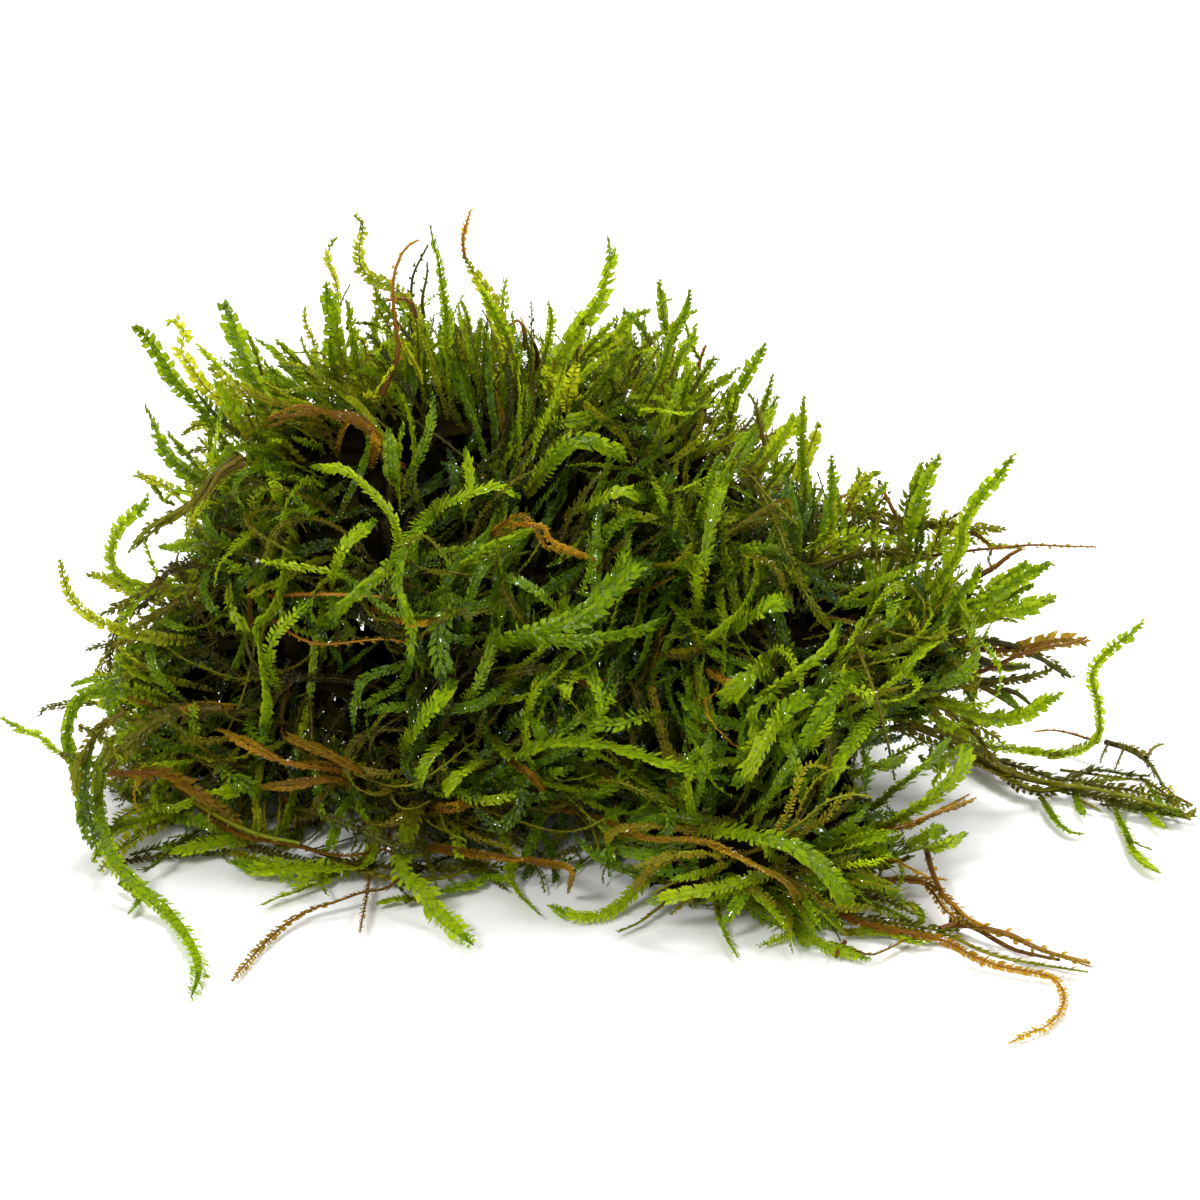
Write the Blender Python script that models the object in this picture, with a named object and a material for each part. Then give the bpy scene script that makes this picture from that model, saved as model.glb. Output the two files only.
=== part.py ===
"""Moss clump: a cushion of tangled wet moss on a flat foot, with leafy shoots and bare stems that grow out."""

from math import cos, radians, sin
from random import Random

import bmesh
import bpy
import numpy as np
from mathutils import Matrix, Vector, noise
from mathutils.bvhtree import BVHTree

MM = 0.001

# Shoots are drawn as they are seen from the front, on a sight plane that faces an eye looking down on the clump.
# A point of the plane is (across, up) in millimetres from the clump's middle height. A third value then says
# how far back on the sight line the shoot lies, or how high above the ground.
SIGHT_TILT = radians(25)
SIGHT_DISTANCE = 400
SIGHT_MIDDLE = Vector((0, -4, 27))
EYE = SIGHT_MIDDLE + SIGHT_DISTANCE * Vector((0, -cos(SIGHT_TILT), sin(SIGHT_TILT)))

# The air between neighbours, how a route is followed, and how far from the cushion it may start to be led to it
GAP = 0.35
ROUTE_STEP = 0.4
LOOK_AHEAD = 0.8
SETTLED_BY = 0.62
ROOTED_FROM = 1.0
ROOTED_TO = 9.0

# One shoot: its leaf teeth, and how it thins towards both ends. Shares are of its width or of its length.
TOOTH_LENGTH = 2.4
TOOTH_LEAN = 0.7
NARROW_SHARE = 0.42
LEAF_THICKNESS = 0.4
BARE_STEP = 2.2
END_WIDTH = 0.62
FULL_FROM = 0.25
THINS_OVER = 0.32
TIP_WIDTH = 0.11

# The cushion's skin: how its heaps run together, its lumps and the finer lumps on them
VOXEL = 1.4
SMOOTHINGS = 8
MAT_TRIANGLES = 2090
LUMP_SIZE = 7.5
LUMP_HEIGHT = 1.9
LUMP_OCTAVES = 2
FINE_LUMP_SIZE = 2.8
FINE_LUMP_HEIGHT = 0.95

# The short shoots fused to it, each a face drawn out along a line, with its width at each step
TUFT_SEED = 7
MOST_TUFTS = 76
TUFT_SPACING = 7.0
TUFT_ROOM = 2.6
TUFT_LOWEST = 5.0
TUFT_LEAST_AREA = 3.0
TUFT_SWAY = 0.6
TUFT_LIFT = 0.42
TUFT_RISE = 0.12
TUFT_LENGTHS = (6.0, 10.5)
TUFT_WIDTHS = (0.42, 0.68, 0.32, 0.56, 0.1)

# Each heap is its middle and its half sizes. Together they make the cushion.
HEAPS = {
    "main mound": ((-10, 12, 19), (33, 25, 26)),
    "left shoulder": ((-24, 10, 25), (14, 16, 21)),
    "right shoulder": ((1, 9, 22), (18, 18, 23)),
    "right lobe": ((18, 2, 10), (14, 18, 22)),
    "right end": ((28, 6, 17), (10.5, 12, 9)),
    "left skirt": ((-38, 9, 7), (12, 14, 12)),
    "front foot": ((16, -15, 3), (15, 10, 10)),
    "back skirt": ((-6, 20, 6), (35, 15, 18)),
}

# Dark hollows in the skin: where each is seen on the face, across and up, then its radius and its depth
FACE_HOLLOWS = [
    (-25.5, -6.5, 7.5, 9.0), (-29.5, -2.0, 4.5, 5.0), (-22.0, -12.5, 5.0, 5.5), (4.5, -6.5, 6.0, 7.5),
    (10.5, -8.5, 4.5, 5.5), (20.0, -3.0, 4.5, 5.5), (23.5, 2.0, 4.0, 4.5), (-15.5, 14.0, 4.5, 5.5),
    (-15.0, 6.5, 4.5, 6.0), (-2.0, 12.5, 5.0, 5.5), (-8.0, -12.5, 4.5, 5.5), (-8.0, -21.0, 4.5, 5.0),
    (-37.0, -6.0, 5.0, 5.0), (3.5, 1.0, 4.0, 4.5),
]
# The same behind: the direction from above in degrees and the height, then the radius and the depth
BACK_HOLLOWS = [
    (12, 24, 5.0, 5.0), (40, 17, 6.0, 7.0), (66, 30, 5.5, 6.0), (78, 12, 5.5, 6.5), (104, 26, 6.0, 7.0),
    (128, 12, 5.5, 6.5), (140, 32, 5.0, 5.5), (160, 18, 5.5, 6.0), (196, 22, 5.0, 5.0),
]
HOLLOW_RIM = 1.0

COLOURS = {
    "tangled": ((0.030, 0.058, 0.012), 0.55),
    "fresh": ((0.160, 0.330, 0.030), 0.40),
    "pale": ((0.330, 0.480, 0.060), 0.42),
    "olive": ((0.130, 0.130, 0.030), 0.50),
    "rust": ((0.330, 0.125, 0.030), 0.50),
}

# Leafy shoots seen against the background or standing clear of the cushion, from base to tip:
# name, colour, width, how far back the base and the tip lie, then the points of the route.
STANDING = [
    ("crown_shoot_1", "fresh", 1.6, 9, 4, [
        (-35.5, 13.0), (-36.8, 15.0), (-38.8, 17.5), (-40.5, 19.8), (-42.5, 21.8), (-44.0, 24.2), (-45.2, 26.2),
        (-46.6, 27.3)]),
    ("crown_shoot_2", "pale", 1.4, 16, 18, [
        (-36.5, 18.0), (-37.8, 20.0), (-39.5, 21.2), (-40.8, 23.3), (-41.9, 24.8), (-41.6, 26.5), (-42.2, 27.9),
        (-43.3, 27.6)]),
    ("crown_shoot_3", "fresh", 2.0, 8, 10, [
        (-33.0, 18.5), (-34.0, 21.0), (-35.3, 23.5), (-36.2, 25.5), (-36.9, 27.8), (-37.7, 29.7)]),
    ("crown_shoot_4", "pale", 0.9, 16, 19, [
        (-27.6, 24.0), (-26.8, 26.5), (-26.2, 28.5), (-26.2, 30.5), (-26.5, 32.2), (-27.1, 33.8), (-27.2, 35.0),
        (-26.3, 36.3)]),
    ("crown_shoot_5", "fresh", 1.6, 9, 8, [
        (-26.6, 23.0), (-26.8, 25.0), (-26.7, 27.5), (-27.2, 30.0), (-27.4, 31.7)]),
    ("crown_shoot_6", "pale", 1.1, 14, 12, [
        (-18.2, 25.0), (-18.4, 28.0), (-19.6, 30.4), (-20.8, 31.3), (-22.5, 32.0), (-23.9, 33.2), (-24.1, 35.2),
        (-23.7, 37.4), (-24.6, 38.5)]),
    ("crown_shoot_7", "fresh", 1.2, 8, 5, [
        (-15.2, 24.5), (-15.3, 27.5), (-15.5, 29.5), (-15.9, 31.5), (-16.1, 33.5), (-16.6, 35.5), (-17.0, 37.5)]),
    ("crown_shoot_8", "pale", 1.1, 12, 12, [
        (-9.2, 24.5), (-10.0, 28.0), (-10.5, 29.5), (-11.5, 31.3), (-12.6, 32.8), (-13.5, 34.2), (-13.7, 35.7),
        (-13.5, 37.2), (-12.9, 39.0)]),
    ("crown_shoot_9", "fresh", 0.9, 15, 14, [
        (-5.8, 22.5), (-5.5, 24.5), (-5.1, 26.2), (-4.8, 28.2), (-5.2, 29.8)]),
    ("crown_shoot_10", "fresh", 1.7, 9, 9, [
        (-5.0, 22.5), (-3.5, 25.0), (-2.5, 26.5), (-1.0, 28.5), (0.2, 30.5), (0.6, 32.5), (1.0, 34.5), (0.8, 36.1)]),
    ("crown_shoot_11", "fresh", 1.1, 17, 19, [
        (6.9, 23.5), (6.8, 26.0), (6.4, 28.0), (6.2, 30.0), (5.9, 31.8)]),
    ("crown_shoot_12", "fresh", 0.9, 8, 8, [
        (6.2, 23.0), (7.2, 26.6), (8.3, 28.2), (8.7, 29.5), (9.0, 31.0)]),
    ("slope_shoot_1", "fresh", 1.3, 13, 14, [
        (12.6, 16.0), (13.0, 18.0), (13.3, 20.0), (14.2, 21.5), (15.0, 23.0), (16.0, 24.5), (16.5, 25.5)]),
    ("slope_shoot_2", "fresh", 1.1, 10, 12, [
        (20.4, 9.0), (20.5, 11.0), (20.3, 13.0), (20.3, 14.5), (20.2, 16.5), (20.3, 18.5), (20.4, 20.3)]),
    ("slope_shoot_3", "pale", 1.1, 19, 24, [
        (14.5, 12.5), (15.5, 14.0), (17.0, 15.5), (18.6, 16.8), (19.6, 18.2)]),
    ("slope_shoot_4", "fresh", 1.4, 2, 0, [
        (23.0, 7.0), (23.0, 9.0), (23.1, 10.5), (23.2, 12.5), (23.1, 14.2)]),
    ("right_shoot_1", "fresh", 1.4, 8, 10, [
        (30.6, 4.5), (31.2, 7.5), (31.7, 9.5), (32.5, 11.5), (33.2, 13.2), (34.0, 14.4)]),
    ("right_shoot_2", "fresh", 1.4, 2, 0, [
        (34.0, 2.0), (36.0, 5.0), (36.2, 7.0), (36.7, 8.5), (37.8, 10.0), (39.0, 11.5), (40.5, 13.3), (41.3, 14.5)]),
    ("right_shoot_3", "fresh", 1.5, 5, 4, [
        (32.0, -3.0), (35.0, -1.5), (38.0, 0.0), (40.0, 1.0), (41.5, 2.0), (43.5, 3.0), (45.2, 3.6)]),
    ("right_shoot_4", "fresh", 1.2, 14, 15, [
        (32.0, -3.4), (34.0, -3.0), (36.0, -2.8), (38.0, -2.0), (40.0, -1.1), (42.0, -1.1), (44.0, -0.3),
        (45.4, 0.2)]),
    ("right_shoot_5", "fresh", 1.3, 3, 1, [
        (31.5, -9.0), (35.0, -10.5), (37.5, -11.5), (39.5, -12.0), (41.0, -12.0), (43.0, -11.3), (44.5, -10.3),
        (46.0, -9.6)]),
    ("left_shoot_1", "fresh", 1.1, 11, 12, [
        (-37.0, 11.5), (-39.5, 12.5), (-42.0, 13.5), (-43.5, 14.5), (-44.2, 16.0), (-44.4, 17.2), (-44.8, 18.0),
        (-45.5, 19.5)]),
    ("left_shoot_2", "fresh", 1.3, 7, 8, [
        (-40.0, 1.2), (-44.5, 1.0), (-46.0, 1.4), (-47.5, 2.0), (-48.7, 3.2), (-48.9, 5.0), (-48.2, 7.0),
        (-47.2, 8.2), (-45.8, 9.2), (-45.2, 10.4)]),
    ("left_shoot_3", "olive", 1.0, 14, 16, [
        (-41.0, -1.5), (-43.0, -0.5), (-45.0, 0.1), (-47.0, 0.9), (-48.5, 1.6), (-50.0, 2.3), (-51.3, 2.5)]),
    ("left_shoot_4", "pale", 1.1, 4, 2, [
        (-43.0, -4.0), (-46.0, -3.5), (-48.0, -3.0), (-49.7, -2.3), (-51.2, -1.5), (-52.8, 0.0), (-53.6, 2.0),
        (-54.0, 4.0)]),
    ("left_stem_bundle", "olive", 1.5, 1, -2, [
        (-36.0, 14.0), (-38.0, 12.5), (-40.0, 10.5), (-42.5, 8.5), (-45.0, 7.0), (-46.9, 5.2)]),
    ("far_left_shoot", "fresh", 1.0, 5, 7, [
        (-47.0, -19.0), (-50.0, -17.8), (-52.0, -16.5), (-53.5, -15.5), (-55.0, -14.5), (-56.2, -13.5),
        (-58.0, -12.9), (-59.8, -11.8)]),
    ("left_beaded_stem", "olive", 0.8, 12, 12, [
        (-46.0, -10.0), (-49.5, -10.4), (-52.0, -10.3), (-54.0, -10.5), (-55.5, -10.8), (-56.0, -11.5)]),
    ("hanging_shoot", "fresh", 1.4, -1, -3, [
        (-46.0, -9.2), (-49.0, -9.0), (-51.5, -9.4), (-52.7, -10.8), (-53.2, -12.5), (-53.3, -14.0),
        (-52.8, -16.0), (-52.2, -18.5), (-51.9, -20.0), (-51.7, -22.0), (-51.5, -23.6)]),
]

# Shoots that lie on the ground or just above it, from base to tip:
# name, colour, width, height above the ground at the base and at the tip, then the points of the route.
LYING = [
    ("right_arm", "olive", 1.2, 11.0, 0.9, [
        (30.5, -8.0), (33.5, -10.0), (36.5, -12.6), (38.0, -14.0), (39.2, -15.8), (41.0, -17.0), (44.0, -18.0),
        (47.0, -18.7), (50.0, -19.7), (53.0, -20.2), (56.0, -20.8), (58.0, -21.4), (59.5, -21.5)]),
    ("right_arm_branch", "fresh", 1.2, 0.9, 0.8, [
        (51.6, -21.4), (52.5, -23.0), (53.3, -25.0), (54.8, -26.5), (56.0, -27.3)]),
    ("right_arm_side_twig", "fresh", 0.9, 1.0, 0.7, [
        (44.2, -19.6), (44.6, -20.7), (45.5, -22.0), (47.0, -23.2), (48.4, -23.4)]),
    ("right_arm_end_loop", "olive", 0.8, 4.4, 2.2, [
        (51.7, -14.4), (52.6, -14.6), (54.0, -15.2), (55.0, -16.5), (55.5, -17.8)]),
    ("left_floor_leaf", "pale", 1.5, 1.2, 0.8, [
        (-43.5, -22.0), (-45.7, -23.0), (-47.5, -24.3), (-48.6, -25.6), (-50.0, -27.0)]),
    ("trailing_shoot", "fresh", 1.6, 8.0, 1.0, [
        (-48.5, -16.0), (-50.0, -18.0), (-50.0, -21.0), (-49.6, -23.5), (-48.5, -26.2), (-47.0, -28.0),
        (-45.0, -29.7), (-43.0, -31.5), (-41.5, -33.5), (-40.4, -35.5), (-40.2, -37.5), (-40.9, -39.7)]),
    ("brown_front_strand", "rust", 0.9, 2.4, 0.8, [
        (-20.0, -27.8), (-24.0, -29.3), (-26.5, -30.2), (-29.0, -31.0), (-31.5, -32.5), (-33.5, -34.3),
        (-35.5, -36.5), (-36.8, -38.1)]),
    ("front_left_shoot", "fresh", 1.3, 2.6, 1.6, [
        (-23.0, -26.0), (-26.0, -26.9), (-30.0, -26.8), (-34.0, -27.0), (-36.5, -26.0)]),
    ("near_green_shoot", "fresh", 1.9, 4.2, 1.3, [
        (-20.0, -26.5), (-17.6, -29.0), (-16.5, -30.8), (-14.8, -32.5), (-12.7, -34.5)]),
    ("front_middle_shoot", "fresh", 1.2, 3.0, 0.9, [
        (-9.0, -25.5), (-9.0, -27.5), (-8.0, -29.5), (-6.0, -31.5)]),
    ("long_arc_shoot", "fresh", 1.3, 9.0, 0.9, [
        (7.0, -19.5), (6.8, -21.5), (6.2, -24.0), (5.0, -27.0), (2.7, -29.9), (0.5, -31.4), (-2.5, -31.6),
        (-5.0, -30.5)]),
    ("dark_front_shoot", "olive", 1.1, 2.0, 0.8, [
        (11.0, -27.5), (9.0, -28.7), (6.4, -30.4), (4.0, -32.2), (1.8, -33.2)]),
    ("front_tip_shoot", "fresh", 1.1, 1.8, 0.8, [
        (11.6, -30.0), (12.0, -32.0), (12.8, -34.0), (13.8, -35.8)]),
    ("front_right_strand", "rust", 0.9, 4.0, 1.9, [
        (19.0, -26.0), (22.0, -27.0), (26.0, -28.2), (30.0, -28.0), (32.5, -28.2), (34.5, -29.6), (36.0, -31.5),
        (37.5, -32.8), (41.0, -33.7), (44.0, -35.0), (47.0, -36.0), (49.2, -36.7)]),
    ("hooked_strand", "rust", 0.9, 1.6, 0.7, [
        (22.0, -30.5), (25.0, -31.9), (28.0, -32.8), (31.0, -33.4), (34.5, -34.1), (37.5, -35.7), (40.0, -36.6),
        (43.0, -37.2), (45.3, -37.8), (46.4, -39.4), (46.0, -41.2), (44.5, -42.7), (42.5, -43.5), (41.0, -44.3)]),
    ("front_right_shoot", "fresh", 1.2, 1.6, 0.8, [
        (18.5, -31.0), (20.5, -33.4), (22.5, -34.6), (24.5, -35.2), (27.0, -35.9)]),
]

# Bare wiry stems, given as the standing shoots are
WIRY = [
    ("wiry_loop_1", "olive", 0.7, 20, 22, [
        (-18.6, 25.5), (-18.9, 28.0), (-18.9, 30.5), (-18.7, 32.5), (-17.9, 34.2), (-17.2, 35.5)]),
    ("wiry_loop_2", "rust", 0.8, 9, 9, [
        (-20.2, 24.5), (-20.4, 27.0), (-20.7, 30.0), (-20.6, 32.5), (-20.0, 34.3), (-19.2, 35.4), (-18.2, 36.0)]),
    ("right_olive_twig", "olive", 1.0, 16, 20, [
        (24.0, 8.5), (26.5, 8.4), (28.5, 7.8), (31.0, 7.3), (34.0, 7.6), (36.5, 7.2), (38.5, 7.2), (40.2, 7.1)]),
    ("long_brown_stem", "rust", 0.6, 12, 10, [
        (28.5, 2.0), (30.5, 3.5), (33.0, 4.4), (35.5, 4.7), (37.5, 5.0), (40.0, 5.2), (43.0, 5.5), (46.0, 5.4),
        (49.6, 5.3)]),
    ("amber_strand", "rust", 0.9, 7, 6, [
        (35.0, -8.5), (37.0, -7.6), (39.5, -6.6), (41.0, -5.9), (43.0, -5.1), (45.0, -4.6), (47.0, -4.4),
        (48.7, -3.7)]),
]

# The stem that lies beside the right arm and then stands up in a leafy tip. Each point is across, up and back.
RISING = ("rising_shoot", "fresh", 1.2, [
    (31.0, -8.5, 10), (33.0, -11.0, 12), (35.0, -12.7, 13), (38.0, -14.2, 14), (41.0, -14.9, 14),
    (44.0, -15.3, 14), (46.0, -15.5, 14), (48.3, -15.0, 14), (49.8, -13.8, 14), (50.0, -12.0, 14), (49.8, -10.0, 14),
    (49.3, -8.5, 14), (49.3, -7.0, 13), (50.3, -5.7, 13), (51.5, -4.5, 12), (53.0, -3.5, 12), (54.2, -2.2, 12)])

# Shoots on the side that faces away: direction seen from above in degrees (90 is straight back), height of the
# base, length, rise of the tip in degrees above level, width and colour.
BEHIND = [
    ("back_shoot_1", 28, 14, 19, 22, 1.4, "fresh"),
    ("back_shoot_2", 52, 26, 17, 38, 1.5, "fresh"),
    ("back_shoot_3", 84, 34, 15, 50, 1.6, "fresh"),
    ("back_shoot_4", 98, 15, 14, 18, 1.5, "fresh"),
    ("back_shoot_5", 122, 27, 16, 34, 1.3, "pale"),
    ("back_shoot_6", 142, 10, 17, 8, 1.4, "fresh"),
    ("back_shoot_7", 160, 24, 18, 30, 1.4, "fresh"),
]
BACK_MIDDLE = Vector((-6, 6, 0))
BACK_REACH = Vector((30, 27))
DRAWN_IN_AT_TOP = 0.5
TOP_OF_MAT = 48
BACK_STEPS = 5


def seen(across, up, back):
    """The point on the sight line through (across, up) that lies this far back, in millimetres."""
    on_plane = SIGHT_MIDDLE + Vector((across, up * sin(SIGHT_TILT), up * cos(SIGHT_TILT)))
    line = on_plane - EYE
    return EYE + line * ((SIGHT_MIDDLE.y + back - EYE.y) / line.y)


def on_ground(across, up, height):
    """The point on the sight line through (across, up) that lies this high above the ground."""
    on_plane = SIGHT_MIDDLE + Vector((across, up * sin(SIGHT_TILT), up * cos(SIGHT_TILT)))
    line = on_plane - EYE
    return EYE + line * ((height - EYE.z) / line.z)


def between(low, high, share):
    return low + (high - low) * share


def shares(points):
    """How far along its list each point is, from 0 to 1."""
    return [i / (len(points) - 1) for i in range(len(points))]


def smooth_route(points):
    """Evenly spaced points on one smooth curve through all the given ones."""
    padded = [2 * points[0] - points[1], *points, 2 * points[-1] - points[-2]]
    dense = [points[0]]
    for before, start, end, after in zip(padded, padded[1:], padded[2:], padded[3:]):
        for t in (0.25, 0.5, 0.75, 1.0):
            pull = (end - before) * t + (2 * before - 5 * start + 4 * end - after) * t**2
            pull += (3 * start - before - 3 * end + after) * t**3
            dense.append(start + pull / 2)
    run = np.concatenate([[0], np.cumsum([(b - a).length for a, b in zip(dense, dense[1:])])])
    wanted = np.linspace(0, run[-1], max(4, int(run[-1] / ROUTE_STEP)))
    dense = np.array(dense)
    return [Vector(p) for p in np.stack([np.interp(wanted, run, dense[:, k]) for k in range(3)], axis=1)]


def material(name, colour, roughness):
    made = bpy.data.materials.new(name)
    made.use_nodes = True
    shader = made.node_tree.nodes["Principled BSDF"]
    shader.inputs["Base Color"].default_value = (*colour, 1)
    shader.inputs["Roughness"].default_value = roughness
    shader.inputs["Metallic"].default_value = 0
    return made


def hollow_places(mesh):
    """(middle, radius, depth) of each hollow on this skin, in millimetres."""
    corners = [vert.co / MM for vert in mesh.vertices]
    skin = BVHTree.FromPolygons(corners, [face.vertices[:] for face in mesh.polygons])
    places = []
    for across, up, radius, depth in FACE_HOLLOWS:
        places.append((skin.ray_cast(EYE, seen(across, up, 0) - EYE)[0], radius, depth))
    for direction, height, radius, depth in BACK_HOLLOWS:
        out = Vector((cos(radians(direction)), sin(radians(direction)), 0))
        behind = Vector((BACK_MIDDLE.x, BACK_MIDDLE.y, height)) + out * SIGHT_DISTANCE
        places.append((skin.ray_cast(behind, -out)[0], radius, depth))
    return places


def depth_at(where, hollows):
    """How deep the hollows go at this place, with rounded rims and floors."""
    return sum(depth * (1 - min(1, (where - middle).length / radius) ** 2) ** 2 for middle, radius, depth in hollows)


def tangled_mat(finish, clump):
    """The cushion: heaps run together, hollowed, roughened into lumps and cut off flat where they rest."""
    bm = bmesh.new()
    for middle, half in HEAPS.values():
        place = Matrix.Translation(Vector(middle) * MM) @ Matrix.Diagonal((*(h * MM for h in half), 1))
        bmesh.ops.create_icosphere(bm, subdivisions=4, radius=1, matrix=place)
    mesh = bpy.data.meshes.new("tangled_mat")
    bm.to_mesh(mesh)
    bm.free()
    mat = bpy.data.objects.new("tangled_mat", mesh)
    clump.collection.objects.link(mat)
    one_skin = mat.modifiers.new("one skin", "REMESH")
    one_skin.mode = "VOXEL"
    one_skin.voxel_size = VOXEL * MM
    settle = mat.modifiers.new("run together", "SMOOTH")
    settle.iterations = SMOOTHINGS
    bake_modifiers(mat)

    clump.hollows = hollow_places(mat.data)
    bm = bmesh.new()
    bm.from_mesh(mat.data)
    for vert in bm.verts:
        where = vert.co / MM
        lump = LUMP_HEIGHT * noise.fractal(where / LUMP_SIZE, 1, 2, LUMP_OCTAVES)
        fine_lump = FINE_LUMP_HEIGHT * noise.noise(where / FINE_LUMP_SIZE)
        vert.co += vert.normal * (lump + fine_lump - depth_at(where, clump.hollows)) * MM
    bm.to_mesh(mat.data)
    bm.free()
    fewer = mat.modifiers.new("fewer faces", "DECIMATE")
    fewer.ratio = MAT_TRIANGLES / (2 * len(mat.data.polygons))
    bake_modifiers(mat)

    bm = bmesh.new()
    bm.from_mesh(mat.data)
    everything = bm.verts[:] + bm.edges[:] + bm.faces[:]
    cut = bmesh.ops.bisect_plane(bm, geom=everything, plane_co=(0, 0, 0), plane_no=(0, 0, -1), clear_outer=True)
    rim = [edge for edge in cut["geom_cut"] if isinstance(edge, bmesh.types.BMEdge)]
    bmesh.ops.contextual_create(bm, geom=rim)
    bmesh.ops.triangulate(bm, faces=bm.faces[:])
    bmesh.ops.recalc_face_normals(bm, faces=bm.faces[:])
    bm.to_mesh(mat.data)
    bm.free()
    mat.data.materials.append(finish)
    mat.parent = clump.empty
    return mat


def bake_modifiers(obj):
    graph = bpy.context.evaluated_depsgraph_get()
    baked = bpy.data.meshes.new_from_object(obj.evaluated_get(graph))
    obj.modifiers.clear()
    obj.data = baked


class Clump:
    """What every shoot needs to know: the scene, the cushion's surface and the finishes."""

    def __init__(self):
        self.collection = bpy.context.scene.collection
        self.empty = bpy.data.objects.new("moss_clump", None)
        self.collection.objects.link(self.empty)
        self.finishes = {name: material(name + "_moss", *look) for name, look in COLOURS.items()}
        self.hollows = []
        self.mat = tangled_mat(self.finishes["tangled"], self)
        corners = [vert.co / MM for vert in self.mat.data.vertices]
        self.surface = BVHTree.FromPolygons(corners, [face.vertices[:] for face in self.mat.data.polygons])
        self.taken = []

    def height_over_mat(self, point):
        """How far the point is out of the cushion, below zero inside it, with the way out."""
        nearest, normal, _, distance = self.surface.find_nearest(point)
        outside = (point - nearest).dot(normal) >= 0
        away = (point - nearest) if outside else (nearest - point)
        return (distance if outside else -distance), (away.normalized() if distance > 0.01 else normal)

    def rooted(self, points):
        """The points, led to the cushion where they start a little clear of it."""
        height, _ = self.height_over_mat(points[0])
        if ROOTED_FROM < height < ROOTED_TO:
            return [self.surface.find_nearest(points[0])[0], *points]
        return points

    def clear_of_mat(self, route, room):
        """The route from where it leaves the cushion, with no point nearer to it than the room asked for."""
        heights = [self.height_over_mat(point)[0] for point in route]
        first = next((i for i, height in enumerate(heights) if height >= room), len(route) - 4)
        kept = []
        for point in route[first:]:
            height, way_out = self.height_over_mat(point)
            if height < room:
                point = point + way_out * (room - height)
            point.z = max(point.z, room - GAP)
            kept.append(point)
        return kept


def ring_plan(length, width, leafy):
    """(distance along, half width, half thickness) of each ring: a leafy shoot widens and steps in at each tooth."""
    rings = []
    teeth = max(2, round(length / (TOOTH_LENGTH if leafy else BARE_STEP)))
    for i in range(teeth):
        along = i / teeth
        swell = between(END_WIDTH, 1, min(1, along / FULL_FROM) * min(1, (1 - along) / THINS_OVER))
        half = width / 2 * swell
        if leafy:
            rings.append((along * length, half * NARROW_SHARE, LEAF_THICKNESS * swell))
            rings.append(((along + TOOTH_LEAN / teeth) * length, half, LEAF_THICKNESS * swell))
        else:
            rings.append((along * length, half, half))
    rings.append((length, width * TIP_WIDTH, width * TIP_WIDTH))
    return rings


def straight_tube(rings):
    """A four-sided tube with this many rings, one apart along Z, and corners one away from its middle."""
    bm = bmesh.new()
    bmesh.ops.create_circle(bm, segments=4, radius=1)
    bmesh.ops.spin(bm, geom=bm.edges[:], axis=(0, 0, 1), dvec=(0, 0, 1), angle=0, steps=rings - 1)
    bmesh.ops.holes_fill(bm, edges=[edge for edge in bm.edges if edge.is_boundary])
    bmesh.ops.recalc_face_normals(bm, faces=bm.faces[:])
    return bm


def shoot(clump, name, colour, width, points, faces_way, leafy=True):
    """One closed shoot along the route: a straight tube, bent to it ring by ring."""
    room = width / 2 + GAP
    route = clump.clear_of_mat(smooth_route(clump.rooted(points)), room)
    clump.taken += [point * MM for point in route[::3]]
    steps = [(b - a).length for a, b in zip(route, route[1:])]
    run = np.concatenate([[0], np.cumsum(steps)])
    columns = np.array(route)
    origin = route[0]

    def place(along):
        return Vector([np.interp(along, run, columns[:, k]) for k in range(3)])

    frames = []
    for along, half_width, half_thickness in ring_plan(run[-1], width, leafy):
        ahead = (place(min(along + LOOK_AHEAD, run[-1])) - place(max(along - LOOK_AHEAD, 0))).normalized()
        side = ahead.cross(faces_way).normalized()
        frames.append((place(along) - origin, side * half_width, ahead.cross(side) * half_thickness))
    bm = straight_tube(len(frames))
    for vert in bm.verts:
        middle, side, flat = frames[round(vert.co.z)]
        vert.co = (middle + side * vert.co.x + flat * vert.co.y) * MM
    bmesh.ops.triangulate(bm, faces=bm.faces[:])
    mesh = bpy.data.meshes.new(name)
    bm.to_mesh(mesh)
    bm.free()
    made = bpy.data.objects.new(name, mesh)
    made.location = origin * MM
    made.parent = clump.empty
    made.data.materials.append(clump.finishes[colour])
    clump.collection.objects.link(made)
    return made


def tuft_line(face, rng):
    """The middle line of a short shoot that leaves the cushion at this face and leans upwards."""
    sway = Vector((rng.uniform(-1, 1), rng.uniform(-1, 1), rng.uniform(-1, 1)))
    heading = face.normal + TUFT_SWAY * sway + Vector((0, 0, TUFT_LIFT))
    step = rng.uniform(*TUFT_LENGTHS) / len(TUFT_WIDTHS) * MM
    line = [face.calc_center_median()]
    for _ in TUFT_WIDTHS:
        heading.z += TUFT_RISE
        line.append(line[-1] + heading.normalized() * step)
    return line


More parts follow.
